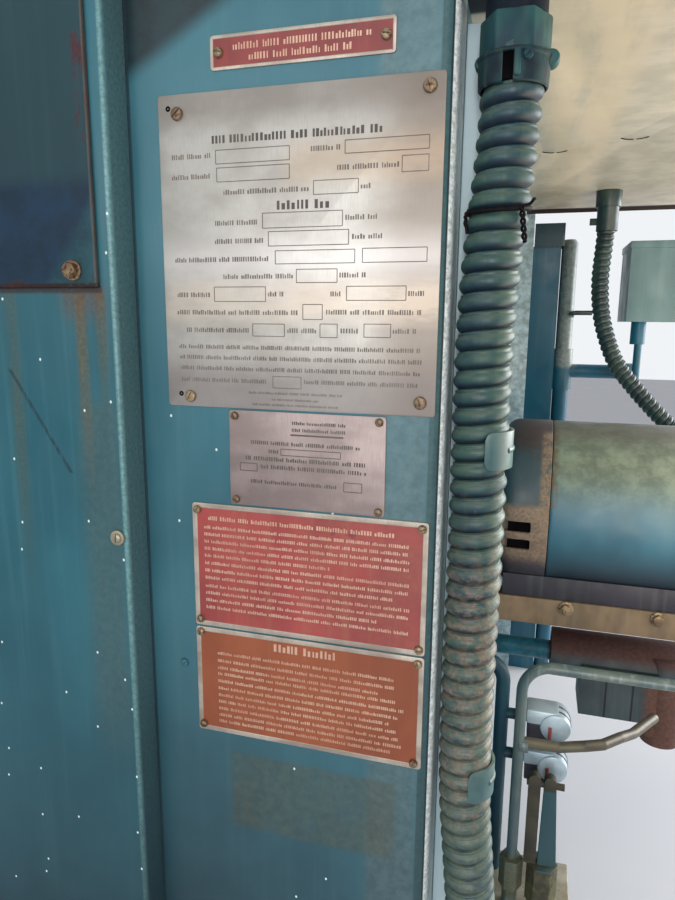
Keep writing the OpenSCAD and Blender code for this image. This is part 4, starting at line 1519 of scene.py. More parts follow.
def plate_set() -> list[Plate]:
    """Return the five plates of the corner panel from top to bottom.

    Returns:
        The plates.
    """
    data_rows = (
        Row(27.6, 51.7, -32.5), Row(109.7, 126.5, -32.4), Row(27.2, 51.4, -43.2), Row(124.3, 157.2, -42.5),
        Row(58.8, 109.0, -52.2), Row(137.2, 144.8, -52.2), Row(53.2, 79.5, -68.4), Row(129.0, 146.9, -67.6),
        Row(52.9, 82.8, -78.2), Row(132.8, 150.2, -77.4), Row(27.5, 86.0, -88.0), Row(57.6, 99.8, -97.4),
        Row(126.0, 140.6, -97.2), Row(28.2, 49.5, -107.4), Row(84.6, 93.6, -107.1),
        Row(121.0, 128.0, -107.1),
        Row(163.8, 172.3, -107.0), Row(27.8, 102.5, -117.2), Row(118.6, 172.0, -116.8),
        Row(33.4, 73.3, -127.2),
        Row(96.0, 113.5, -127.0), Row(126.9, 137.9, -126.8), Row(156.0, 168.6, -126.6),
        Row(28.2, 171.4, -136.8, 2.3),
        Row(28.5, 172.6, -142.9, 2.3), Row(29.0, 172.4, -149.1, 2.3), Row(29.2, 84.2, -156.0, 2.3),
        Row(105.9, 171.0, -155.4, 2.3), Row(72.0, 128.6, -162.5, 1.4), Row(86.2, 114.5, -166.1, 1.2),
        Row(74.3, 126.0, -169.2, 1.2),
    )
    data_fields = (
        Field(54.5, 97.7, -37.2, -30.1), Field(128.5, 172.5, -35.8, -29.3), Field(54.9, 97.6, -46.6, -39.3),
        Field(158.8, 172.5, -46.3, -38.5), Field(111.2, 135.9, -55.4, -48.4),
        Field(81.8, 127.4, -71.8, -63.9),
        Field(85.1, 130.9, -81.3, -73.7), Field(89.1, 134.4, -90.9, -83.9),
        Field(138.6, 173.1, -90.8, -83.6),
        Field(101.4, 124.7, -101.0, -93.9), Field(51.7, 83.1, -111.1, -103.1),
        Field(130.0, 162.6, -110.5, -103.1),
        Field(105.1, 116.4, -120.8, -112.7), Field(75.0, 94.2, -130.3, -123.5),
        Field(115.1, 125.0, -130.5, -123.2),
        Field(140.1, 154.8, -130.0, -123.0), Field(87.0, 104.0, -159.4, -152.8),
    )
    small_rows = (
        Row(98.5, 130.0, -179.2, 1.9, 0.3), Row(98.3, 130.1, -183.2, 1.9, 0.3),
        Row(72.8, 138.6, -191.6, 2.2, 0.3),
        Row(83.9, 90.7, -196.5, 2.2, 0.3), Row(69.3, 143.0, -201.1, 2.4, 0.3),
        Row(78.8, 142.8, -205.8, 2.4, 0.3),
        Row(72.4, 125.4, -215.0, 2.2, 0.3),
    )
    red_rows = tuple(Row(40.6, right, level, 2.0, 0.3) for level, right in zip(
        (-246.5, -251.0, -255.6, -260.2, -264.8, -269.6, -274.4, -279.2, -284.6, -289.2, -294.0, -298.8),
        (168.5, 168.4, 168.5, 168.6, 122.0, 169.0, 169.1, 160.0, 169.4, 169.6, 150.0, 169.0)))
    orange_rows = tuple(Row(47.5, right, level, 2.0, 0.3) for level, right in zip(
        (-329.3, -334.4, -339.3, -343.4, -348.5, -353.4, -358.2, -362.8, -367.6, -372.2, -376.6),
        (162.0, 162.2, 152.7, 163.1, 168.3, 164.8, 159.0, 163.5, 165.1, 166.7, 160.9)))
    return [
        Plate("level_tag", 52.7, 27.3, 101.6, 17.3, BORDER_METAL, "plate_red", TAG_ENAMEL, 1.5, MARK_PALE,
              bold=(Row(66, 142, 21.0, 3.4, 0.22), Row(75, 132, 15.4, 3.4, 0.22)),
              screws=((57.6, 18.6), (149.4, 18.6)),
              screw_d=5.4, seed=2),
        Plate("data_plate", 20.0, 0.0, 160.0, 172.0, DATA_METAL, "plate_silver",
              bold=(Row(52.4, 150.2, -24.6, 4.0, 0.28), Row(90.3, 120.2, -60.1, 4.6, 0.3)), rows=data_rows,
              fields=data_fields, screws=((31.8, -10.0), (172.1, -6.7), (34.6, -166.0), (171.9, -164.6)),
              holes=((26.2, -7.0), (28.4, -164.7)), screw_d=7.2, seed=3),
        Plate("approval_plate", 59.0, -173.2, 94.5, 57.0, SMALL_METAL, "plate_silver", marks=MARK_DARK,
              rows=small_rows, fields=(Field(91.5, 127.5, -198.4, -194.7),
                                       Field(65.7, 76.5, -208.9, -204.4),
                                       Field(129.6, 140.2, -217.2, -211.9),
                                       Field(97.6, 128.9, -186.4, -185.9)),
              screws=((62.8, -176.4), (149.6, -176.3), (62.8, -227.0), (150.0, -227.6)), screw_d=4.8,
              seed=5),
        Plate("red_plate", 33.0, -231.4, 146.0, 80.0, BORDER_METAL, "plate_red", RED_ENAMEL, 2.8, MARK_PALE,
              bold=(Row(43.6, 160.0, -240.6, 2.6, 0.32),), rows=red_rows,
              screws=((36.6, -235.6), (175.4, -235.2), (36.6, -307.2), (175.6, -307.6)), screw_d=5.2,
              seed=7),
        Plate("orange_plate", 33.0, -312.6, 146.0, 72.0, BORDER_METAL, "plate_orange", ORANGE_ENAMEL, 2.8,
              MARK_PALE,
              bold=(Row(85.7, 127.8, -320.0, 5.0, 0.26),), rows=orange_rows,
              screws=((36.6, -316.0), (175.4, -316.4), (36.6, -380.4), (174.6, -380.8)), screw_d=5.2,
              seed=11),
    ]


# Conduit


def smooth_route(points: Sequence[Pair], steps: int = 6) -> list[Pair]:
    """Return points of a smooth curve through a route, as the part's source draws it.

    Args:
        points: Corners of the route.
        steps: Points from one corner to the next.

    Returns:
        The curve's points.
    """
    made: list[Pair] = []
    last = len(points) - 1
    for i in range(last):
        a, b, c, d = (points[max(i - 1, 0)], points[i], points[i + 1], points[min(i + 2, last)])
        for k in range(steps):
            t = k / steps
            made.append(tuple(0.5 * (2 * b[n] + (c[n] - a[n]) * t
                                     + (2 * a[n] - 5 * b[n] + 4 * c[n] - d[n]) * t * t
                                     + (3 * b[n] - a[n] - 3 * c[n] + d[n]) * t ** 3) for n in (0, 1)))
    return made + [tuple(points[last])]


@dataclass
class WoundConduit:
    """A painted flexible conduit, wound from one folded strip along a route."""

    node: str
    route: tuple[Pair, ...]
    depth: float
    across: float
    pitch: float
    finish: Paint
    slot: str
    groove: float = 3.1
    front: float = 185.0
    steps: int = 28

    def build(self) -> None:
        """Wind one turn of the strip, screw it into a tube and lay it along its route."""
        path = smooth_route(self.route)
        length = sum(math.dist(a, b) for a, b in zip(path, path[1:]))
        turns = math.floor(length / self.pitch) + 1
        radius = self.across / 2
        shape = ((0.0, 1.0), (0.04, 0.72), (0.08, 0.50), (0.13, 0.42), (0.18, 0.48), (0.23, 0.44),
                 (0.29, 0.26),
                 (0.37, 0.10), (0.46, 0.02), (0.55, 0.0), (0.64, 0.04), (0.73, 0.15), (0.81, 0.33),
                 (0.89, 0.60),
                 (0.95, 0.84), (1.0, 1.0))
        profile = [Vector((radius - self.groove * sink, 0, self.pitch * share)) * MM for share,
                   sink in shape]
        piece = wire(self.node + "_wound", profile)
        modify(piece, "SCREW", axis="Z", angle=math.tau, screw_offset=self.pitch * MM, iterations=turns,
               steps=self.steps, render_steps=self.steps, use_merge_vertices=True, merge_threshold=1e-6)
        outwards(piece)
        lead = (length - (turns + 1.5) * self.pitch) / 2
        piece.data.transform(Matrix.Translation((0, 0, lead * MM)))
        clear()
        guide_data = bpy.data.curves.new("route", "CURVE")
        guide_data.dimensions = "3D"
        spline = guide_data.splines.new("POLY")
        spline.points.add(len(path) - 1)
        for point, (out, height) in zip(spline.points, path):
            point.co = (*at(self.front + out, self.depth, height), 1)
        guide = bpy.data.objects.new("route", guide_data)
        bpy.context.scene.collection.objects.link(guide)
        modify(piece, "CURVE", object=guide, deform_axis="POS_Z")
        bpy.data.objects.remove(guide)
        coat(piece, self.finish)
        present(piece, self.node, slot=self.slot, smooth=50)


NEAR_ROUTE = ((26, 6), (24.5, -35), (19.5, -95), (18, -150), (18.5, -240), (18, -330), (19, -400),
              (24, -460),
              (28, -510), (28, -552))
FAR_ROUTE = ((121, 34), (121, 4), (119.5, -24), (118, -67), (122, -107), (131, -140), (146, -174),
             (172, -207),
             (203, -240), (226, -262), (241, -280), (244, -300))


@dataclass
class ConduitFittings:
    """Connectors, straps, tie, strut and box that hold the near conduit."""

    front: float = 185.0
    depth: float = 15.0
    across: float = 31.5
    connector: float = 35.5
    strut_y: float = 33.95
    strap_levels: tuple[float, ...] = (-189.0, -390.0)
    strap_h: float = 20.6
    strap_t: float = 1.8
    strap_tip: float = 4.5
    strap_corner: float = 4.0
    tie_level: float = -65.0

    def jaw(self, name: str, x: float, low: float, up: int, tall: float) -> bpy.types.Object:
        """Build the split jaw of a connector, with its two eyes, its lip and its screw.

        Args:
            name: Name of the object.
            x: Middle of the conduit there.
            low: Level of the open end of the jaw.
            up: 1 where the body is above the jaw, -1 where it is below.
            tall: Height of the jaw.

        Returns:
            The jaw.
        """
        half, bore = self.connector / 2, self.across / 2 + 0.25
        profile = [(bore, 0), (half - 1.3, 0), (half - 0.6, 0.7), (half, tall - 2.2),
                   (half + 0.7, tall - 1.2),
                   (half + 0.7, tall), (half - 0.6, tall + 0.8), (bore, tall + 0.8), (bore, 0)]
        jaw = turned(name, profile, (x, self.depth, low), (0, 0, up), 64)
        ends = sorted((low - up, low + up * (tall - 1.4)))
        jaw = cut(jaw, slab("gap", (x - 4.6, self.depth - 30, ends[0]),
                            (x + 0.6, self.depth - 9, ends[1]), 0))
        soft_edges(jaw, 0.35, 2, 50)
        coat(jaw, JAW_PAINT)
        eye = low + up * (tall - 1.4)
        lobes = [rod("lobe", (x + reach, self.depth - 4.5, eye), (x + reach, self.depth + 4, eye), across,
                     28, 1.6)
                 for reach, across in ((-15.6, 7.2), (17.6, 8.2))]
        levels = sorted((low + up * 2, low + up * (tall - 0.6)))
        lip = slab("lip", (x + 0.8, self.depth - half - 1.5, levels[0]),
                   (x + 4.0, self.depth - half + 4, levels[1]), 1.0)
        screw = Fastener(Head.PAN, 4.8, 1.8).set_at("jaw_screw",
                                                    [(x + 7.0, self.depth - half + 0.9,
                                                      low + up * (tall - 3.6))],
                                                    (0.3, -1, 0), FITTING_PAINT, 3)
        # Near black sleeves inside the jaw: painted shade in the gap and the bore.
        sleeves = [coat(rod("sleeve", (x, self.depth, low + up * start), (x, self.depth, low + up * tall),
                            across, 48, 0.6),
                        PAINTED_SHADE_BLACK) for start, across in ((-2.5, self.across - 5), (1.4, self.across + 0.4))]
        return join([jaw] + [coat(piece, FITTING_PAINT) for piece in (*lobes, lip)] + [screw, *sleeves],
                    name)

    def connectors(self) -> None:
        """Build the top connector, the lower one and the box under it."""
        x = self.front + 26
        top = self.jaw("top_connector_body", x, -8, 1, 14.6)
        body = coat(rod("body", (x, self.depth, 6), (x, self.depth, 25), self.connector - 0.2, 6, 1.3),
                    FITTING_PAINT)
        axis = Matrix.Translation(at(x, self.depth, 0))
        body.data.transform(axis @ Matrix.Rotation(math.radians(30), 4, "Z") @ axis.inverted())
        # The neck's near black is painted shade.
        neck = coat(rod("neck", (x, self.depth, 24), (x, self.depth, 42), self.connector - 5.4, 48, 0),
                    NECK_SHADE_PAINT)
        nut = rod("locknut", (x, self.depth, 44.2), (x, self.depth, 49), 39.0, 6, 0.8)
        thread = turned("thread",
                        [(10.5, 0), (13, 0)] + [(13 - 0.5 * (k % 2), k * 0.7) for k in range(1, 20)]
                        + [(10.5, 13.6), (10.5, 0)], (x, self.depth, 42), (0, 0, 1), 40)
        present(join([top, body, neck, coat(nut, SCREW_METAL), coat(thread, SCREW_METAL)],
                     "top_connector_body"),
                "top_connector", slot="fitting_paint")
        x, box_top = self.front + 28, -580
        low = self.jaw("lower_connector_body", x, box_top + 36, -1, 16)
        base = coat(rod("base", (x, self.depth, box_top), (x, self.depth, box_top + 20), self.connector,
                        6, 1.3),
                    FITTING_PAINT)
        present(join([low, base], "lower_connector_body"), "lower_connector", slot="fitting_paint")
        casting = slab("lower_box_casting", (self.front + 2, -16, box_top - 80),
                       (self.front + 56, self.strut_y, box_top),
                       3.0)
        hub = turned("hub", [(0, -2), (21, -2), (21, 1.2), (19.4, 2.6), (17.3, 2.8)],
                     (x, self.depth, box_top - 2.4),
                     (0, 0, 1), 40)
        lid = slab("lid", (self.front + 3, -20, box_top - 79), (self.front + 55, -15.4, box_top - 1), 1.4)
        pick(lid, Part.FACE, lambda m, n: n.y < -0.99)
        bpy.ops.mesh.inset(thickness=6 * MM, depth=0)
        bpy.ops.mesh.inset(thickness=1.4 * MM, depth=-1.0 * MM)
        bpy.ops.object.mode_set(mode="OBJECT")
        box = join([coat(casting, FITTING_PAINT), coat(hub, FITTING_PAINT), coat(lid, FITTING_PAINT)],
                   "lower_box_cast")
        screws = Fastener(Head.PAN, 7, 2.6).set_at(
            "lid_screws", [(self.front + 29, -19.6, box_top - 6.5),
                           (self.front + 29, -19.6, box_top - 73.5)],
            (0, -1, 0), SCREW_METAL, 5)
        present(join([box, screws], "lower_box_cast"), "lower_box", slot="fitting_paint")

    def corner_tool(self, tip: float, level: float, sign: int) -> bpy.types.Object:
        """Return a tool that rounds one corner of a strap's loose end.

        Args:
            tip: Where the loose end stands, in millimetres from the seam.
            level: Level of the strap's edge.
            sign: 1 for the upper edge, -1 for the lower one.

        Returns:
            The tool.
        """
        size = self.strap_corner
        arc = [(tip + size - size * math.sin(a), level - sign * size * (1 - math.cos(a)))
               for a in (math.radians(15 * k) for k in range(7))]
        outline = [(tip - 3, level + sign * 3), (tip + size, level + sign * 3)] + arc + [(tip - 3,
                level - sign * size)]
        return cut_out("corner", [(x, self.depth - 40, z) for x, z in outline], (0, 36, 0), 0)

    def straps(self) -> None:
        """Bend the straps round the right-hand side of the conduit, each with its foot on the strut."""
        x = self.front + 18.5
        inner, outer = self.across / 2 + 0.3, self.across / 2 + 0.3 + self.strap_t
        start = -math.degrees(math.acos(self.strap_tip / outer)) - 2
        arc = [math.radians(start + (90 - start) * k / 24) for k in range(25)]
        foot = self.strut_y - self.depth
        outline = [(outer * math.cos(a), outer * math.sin(a)) for a in arc[:22]]
        outline += [(7, foot - self.strap_t), (7, foot), (-8, foot), (-8, foot - self.strap_t),
                    (0, foot - self.strap_t)]
        outline += [(inner * math.cos(a), inner * math.sin(a)) for a in reversed(arc)]
        made = []
        for level in self.strap_levels:
            low = level - self.strap_h / 2
            plain = cut_out("strap", [(x + u, self.depth + v, low) for u, v in outline],
                            (0, 0, self.strap_h), 0)
            for sign in (-1, 1):
                plain = cut(plain, self.corner_tool(x + self.strap_tip - 0.4,
                                                    level + sign * self.strap_h / 2, sign))
            soft_edges(plain, 0.45, 2, 40)
            rib = tube("rib", [(x + (outer - 1.3) * math.cos(a), self.depth + (outer - 1.3) * math.sin(a),
                                level)
                               for a in arc[7:17]], 4.2, 0, 5)
            made += [plain, rib]
        piece = coat(join(made, "conduit_straps_bent"), STRAP_PAINT)
        present(piece, "conduit_straps", slot="fitting_paint")

    def tie(self) -> None:
        """Twist the black wire tie round the conduit and leave its two ends hanging."""
        x, reach = self.front + 21.8, self.across / 2 + 0.3
        ring = [(x + reach * math.cos(a), self.depth + reach * math.sin(a),
                 self.tie_level + 1.6 * math.sin(a + 0.6))
                for a in (math.tau * k / 40 for k in range(41))]
        parts = [tube("ring", ring, 2.5, 0, 4)]
        left = Vector((x - reach, self.depth - 3, self.tie_level))
        loop = [left + Vector(step) for step in ((2.0, -5.0, 0.2), (-0.9, -2.6, -0.8), (-2.4, -2.0, -3.8),
                                                 (-2.3, -2.2, -7.4),
                                                 (-0.8, -3.4, -10.2), (1.6, -5.4, -11.6))]
        parts.append(tube("loop", [tuple(p) for p in loop], 1.9, 4, 4))
        start = Vector((x + 12.2, self.depth - 10.4, self.tie_level + 0.4))
        for phase in (0.0, math.pi):
            twist = []
            for k in range(25):
                drop = k / 24
                a = phase + drop * 15
                twist.append(start + Vector((2.4 * drop + 0.9 * math.cos(a),
                                             -1.2 - 1.6 * drop + 0.9 * math.sin(a),
                                             -17.5 * drop)))
            parts.append(tube("end", [tuple(p) for p in twist], 1.5, 0, 4))
        parts.append(tube("stub", [tuple(start), tuple(start + Vector((3.0, -1.5, 2.0))),
                                   tuple(start + Vector((6.0, -2.0, 3.4)))], 1.6, 3, 4))
        present(coat(join(parts, "wire_tie_twisted"), BLACK_WIRE), "wire_tie", slot="wire_black")

    def build(self) -> None:
        """Build the conduit and what holds it."""
        WoundConduit("conduit", NEAR_ROUTE, self.depth, self.across, 10.0, CONDUIT_PAINT,
                     "conduit_paint").build()
        # The strut's near white finish is painted light.
        present(coat(softened("conduit_strut", 0.8), STRUT_PAINTED_LIGHT), "conduit_strut", slot="strut_paint")
        self.connectors()
        self.straps()
        self.tie()


# Cabinet


@dataclass
class ControlCabinet:
    """Cabinet on the front plate, of which the photo shows the underside."""

    front: float = 185.0
    out: float = 270.0
    low: float = 42.0
    up: float = 300.0
    near: float = -8.0
    far: float = 742.0
    knockouts: tuple[Pair, ...] = ((235.0, 362.0), (303.0, 327.5))
    knockout_d: float = 27.0

    def shell(self) -> None:
        """Round the shell and draw its knockout scores as dark arcs of painted shade."""
        shell = coat(softened("cabinet_shell", 0.9, 3), CABINET_METAL)
        present(shell, "cabinet_shell", slot="cabinet_steel")
        scores = []
        radius = self.knockout_d / 2
        for x, y in self.knockouts:
            for start, sweep in ((32, 50), (92, 56)):
                arc = [math.radians(start + sweep * k / 14) for k in range(15)]
                scores.append(tube("score",
                                   [(x + radius * math.cos(a), y + radius * math.sin(a), self.low + 0.2)
                                             for a in arc], 1.4, 0, 3))
        # The knockout arcs are painted shade.
        present(coat(join(scores, "cabinet_knockout_scores"), PAINTED_SHADE_BLACK), slot="wire_black")

    def door(self) -> None:
        """Shape the door as a slab with a sunk middle and add its latches."""
        x = self.front + self.out
        door = slab("cabinet_door_folded", (x + 0.1, self.near, self.low), (x + 2.0, self.far, self.up), 0)
        pick(door, Part.FACE, lambda m, n: n.x > 0.9)
        bpy.ops.mesh.inset(thickness=22 * MM, depth=0)
        bpy.ops.mesh.inset(thickness=2.0 * MM, depth=-0.9 * MM)
        bpy.ops.object.mode_set(mode="OBJECT")
        parts = [coat(soft_edges(door, 0.6, 2, 20), SIDE_PAINT)]
        for share in (0.25, 0.75):
            y = 750.0 * share
            knob = turned("latch", [(0, 0), (11, 0), (11, 4.5), (9.6, 6), (5, 6.3), (4.2, 8.4), (0, 8.8)],
                          (x + 2.0, y, self.low + 40), (1, 0, 0), 36)
            parts.append(coat(knob, SCREW_METAL))
        present(join(parts, "cabinet_door_folded"), "cabinet_door", slot="cabinet_steel")

    def build(self) -> None:
        """Build the cabinet."""
        self.shell()
        self.door()


# Blower motor


@dataclass
class BlowerMotor:
    """Motor on two shelf rails under the cabinet."""

    front: float = 185.0
    gap: float = 19.0
    across: float = 182.0
    barrel: float = 180.0
    bell: float = 48.0
    middle_y: float = 400.0
    shelf_low: float = 403.0
    rise: float = 86.0
    shaft_d: float = 28.0
    shaft_l: float = 45.0
    rim: float = 14.0
    vent_turns: tuple[float, ...] = (3.0, 15.0)

    @property
    def axis_z(self) -> float:
        """Return the level of the motor's axis."""
        return self.rise - self.shelf_low

    @property
    def start_x(self) -> float:
        """Return where the rear bell starts."""
        return self.front + self.gap

    def bell_profile(self) -> list[Pair]:
        """Return the profile of an end bell from its hub to the barrel.

        Returns:
            Radius and depth of each point, in millimetres.
        """
        radius, rim = self.across / 2, self.rim
        corner = [(radius - rim + rim * math.cos(a), self.bell - rim + rim * math.sin(a))
                  for a in (math.radians(15 * k) for k in range(7))]
        return [(0, 0.4), (radius - 0.6, 0.4), (radius, 1.2)] + corner + [
            (radius * 0.62, self.bell), (radius * 0.58, self.bell - 2.5), (radius * 0.34, self.bell - 3),
            (radius * 0.30, self.bell - 0.4), (0, self.bell - 0.4)]

    def bells(self) -> None:
        """Turn both bells, cut the vents and set the through bolts."""
        rear_x = self.start_x + self.bell
        front_x = rear_x + self.barrel
        rear = turned("motor_rear_bell_cast", self.bell_profile(), (rear_x, self.middle_y, self.axis_z),
                      (-1, 0, 0), 72)
        for side in (-1, 1):
            for turn in self.vent_turns:
                angle = math.radians(turn)
                radius = self.across / 2
                y = self.middle_y + side * radius * math.cos(angle)
                z = self.axis_z - radius * math.sin(angle)
                vent = slab("vent", (self.start_x + 3, y - 9, z - 5.6),
                            (self.start_x + 31, y + 9, z + 5.6), 2.0)
                rear = cut(rear, vent)
        soft_edges(rear, 0.6, 2, 45)
        # A near black core behind the vents: painted shade inside the bell.
        core = rod("core", (self.start_x + 9, self.middle_y, self.axis_z),
                   (rear_x - 2, self.middle_y, self.axis_z),
                   self.across - 7, 72, 0)
        rear = join([coat(rear, BELL_PAINT), coat(core, PAINTED_SHADE_BLACK)], "motor_rear_bell_cast")
        present(rear, "motor_rear_bell", slot="motor_paint", smooth=40)
        front = turned("motor_front_bell_cast", self.bell_profile(),
                       (front_x, self.middle_y, self.axis_z), (1, 0, 0), 72)
        end = front_x + self.bell
        shaft = rod("shaft", (end - 2, self.middle_y, self.axis_z),
                    (end + self.shaft_l, self.middle_y, self.axis_z),
                    self.shaft_d, 40, 1.4)
        key = slab("key", (end + 8, self.middle_y - 3.5, self.axis_z + 10), (end + 36, self.middle_y + 3.5,
                   self.axis_z + 13.6), 0.6)
        front = join([coat(front, BELL_PAINT), coat(shaft, LINK_METAL), coat(key, LINK_METAL)],
                     "motor_front_bell_cast")
        present(front, "motor_front_bell", slot="motor_paint", smooth=40)
        reach = self.across / 2 - 9
        corners = [(math.cos(a) * reach,
                    math.sin(a) * reach) for a in (math.radians(45 + 90 * k) for k in range(4))]
        bolts = Fastener(Head.HEX, 9.0, 3.6)
        places = [(end - 2.2, self.middle_y + y, self.axis_z + z) for y, z in corners]
        present(bolts.set_at("motor_through_bolts", places, (1, 0, 0), SCREW_METAL, 3),
                slot="linkage_metal")

    def body(self) -> None:
        """Roll the barrel with its seam bands, feet and terminal box."""
        start = self.start_x + self.bell
        radius = self.across / 2
        profile = [(radius - 2.5, 0), (radius - 0.9, 0.2), (radius - 0.3, 1.4), (radius, 3.2),
                   (radius, self.barrel - 4), (radius - 1.0, self.barrel - 1.5),
                   (radius - 2.5, self.barrel)]
        barrel = turned("motor_barrel_rolled", profile, (start, self.middle_y, self.axis_z), (1, 0, 0), 96)
        dents = bpy.data.textures.new("barrel_dents", "CLOUDS")
        dents.noise_scale = 0.05
        modify(barrel, "DISPLACE", texture=dents, texture_coords="LOCAL", mid_level=1.0, strength=0.0006)
        present(coat(barrel, MOTOR_PAINT), "motor_barrel", slot="motor_paint", smooth=40)
        present(coat(softened("motor_feet", 1.2, 3), CRADLE_PAINT), "motor_feet", slot="motor_paint")
        box = coat(softened("terminal_box", 2.0, 3), SIDE_PAINT)
        x1, x2 = self.front + 206, self.front + 282
        y2, top = 628.0, -310
        lid = slab("lid", (x1 + 1, y2 - 2.5, top - 49), (x2 - 1, y2, top - 1), 1.0)
        screws = Fastener(Head.PAN, 6, 0.9).set_at("lid_screws", [(x, y2 - 1.0, z) for x in (x1 + 7, x2 - 7)
                                                                  for z in (top - 7, top - 43)],
                                                                          (0, 1, 0), SCREW_METAL)
        present(join([box, coat(lid, FITTING_PAINT), screws], "terminal_box_cast"), "terminal_box",
                slot="motor_paint")

    def shelf(self) -> None:
        """Weather the shelf rails and bolt the motor on them."""
        present(coat(softened("motor_shelf", 0.8, 2), SHELF_PAINT), "motor_shelf", slot="shelf_paint")
        bolt = Fastener(Head.HEX, 10.0, 5.0, 15.0)
        y = self.middle_y - 70
        places = [(x, y - 0.2, -self.shelf_low - 7) for x in (275.0, 361.8)]
        present(bolt.set_at("shelf_bolts", places, (0, -1, 0), SCREW_METAL, 9), slot="linkage_metal")

    def build(self) -> None:
        """Build the motor and its shelf."""
        self.body()
        self.bells()
        self.shelf()


# Far equipment and piping


@dataclass
class FarEquipment:
    """Columns, junction box and small conduit at the far side."""

    front: float = 185.0
    far_y: float = 598.0

    def build(self) -> None:
        """Build the far pieces."""
        columns = softened("far_columns", 1.6, 3)
        edge = at(self.front + 35.2, 0, 0).x
        pick(columns, Part.POINT, lambda place, _: place.x < edge and place.x > edge - 3 * MM)
        bpy.ops.transform.translate(value=(-3.2 * MM, 0, 0))
        bpy.ops.object.mode_set(mode="OBJECT")
        present(coat(columns, COLUMN_PAINT), "far_columns", slot="column_paint")
        present(coat(softened("far_box", 2.2, 3), BOX_PAINT), "far_box", slot="box_paint")
        present(coat(softened("far_box_stand", 1.0, 3), COLUMN_PAINT), "far_box_stand", slot="column_paint")
        present(coat(softened("far_connectors", 0.8, 2), CONDUIT_FAR), "far_connectors",
                slot="fitting_paint")
        WoundConduit("far_conduit", FAR_ROUTE, self.far_y, 22.0, 8.0, CONDUIT_FAR, "conduit_paint",
                     groove=2.0,
                     steps=20).build()


@dataclass
class FrontPiping:
    """Tubes, pump, switches and linkage under the motor."""

    front: float = 185.0
    pipe_y: float = 240.0
    switch_tops: Pair = (-463.0, -504.0)
    fuel_route: tuple[Triple, ...] = ((55.4, 200.0, -484.6), (85.5, 200.0, -483.4), (108.6, 202.0, -483.9),
                                      (128.3, 213.0, -486.2), (145.5, 234.0, -489.7),
                                      (160.3, 262.0, -493.7),
                                      (177.8, 306.0, -503.0))

    def switch(self, top: float) -> list[bpy.types.Object]:
        """Build one switch: a pale cover over a dark body, with a banded round end and its nipple.

        Args:
            top: Level of the top of its housing.

        Returns:
            The parts of the switch.
        """
        left, near, far = self.front + 56, self.pipe_y - 18, self.pipe_y + 6
        cover = slab("cover", (left, near, top - 17), (left + 29, far, top - 3), 2.4)
        body = slab("body", (left + 1.5, near + 1, top - 33), (left + 27, far - 1, top - 15), 1.2)
        end = rod("end", (left + 26, near - 1.6, top - 17.5), (left + 26, far + 1, top - 17.5), 27, 40, 2.2)
        bands = [rod("band", (left + 26, y, top - 17.5), (left + 26, y + 2.4, top - 17.5), 27.8, 40, 0.5)
                 for y in (near + 5, near + 14)]
        stripe = slab("stripe", (left + 20, near - 2.4, top - 29), (left + 23, near, top - 16), 0.4)
        nipple = rod("nipple", (self.front + 34, self.pipe_y, top - 20),
                     (left + 2, self.pipe_y, top - 20), 10, 24, 0.5)
        return ([coat(piece, SWITCH_METAL) for piece in (cover, end)] + [coat(body, SWITCH_BODY)]
                + [coat(piece, SWITCH_BODY) for piece in bands] + [coat(stripe, RED_ENAMEL),
                        coat(nipple, PIPE_PAINT)])

    def build(self) -> None:
        """Build the piping in order."""
        present(coat(softened("water_tube", 0.5, 2), TUBE_PAINT), "water_tube", slot="tube_paint")
        present(coat(softened("stand_pipe", 0.6, 2), PIPE_PAINT), "stand_pipe", slot="tube_paint")
        present(coat(softened("fuel_pump", 1.2, 3), PUMP_PAINT), "fuel_pump", slot="pump_paint")
        bent = tube("fuel_tube_bent", [(self.front + x, y, z) for x, y, z in self.fuel_route], 9.5, 10, 5)
        present(coat(bent, FUEL_METAL), "fuel_tube", slot="fuel_tube_finish")
        switches = join([part for top in self.switch_tops for part in self.switch(top)],
                        "control_switch_pair")
        present(switches, "control_switches", slot="switch_paint")
        present(coat(softened("linkage", 0.8, 2), LINK_METAL), "linkage", slot="linkage_metal")
        present(coat(softened("lower_bracket", 0.8, 2), ZINC_METAL), "lower_bracket", slot="frame_teal")


# Studio


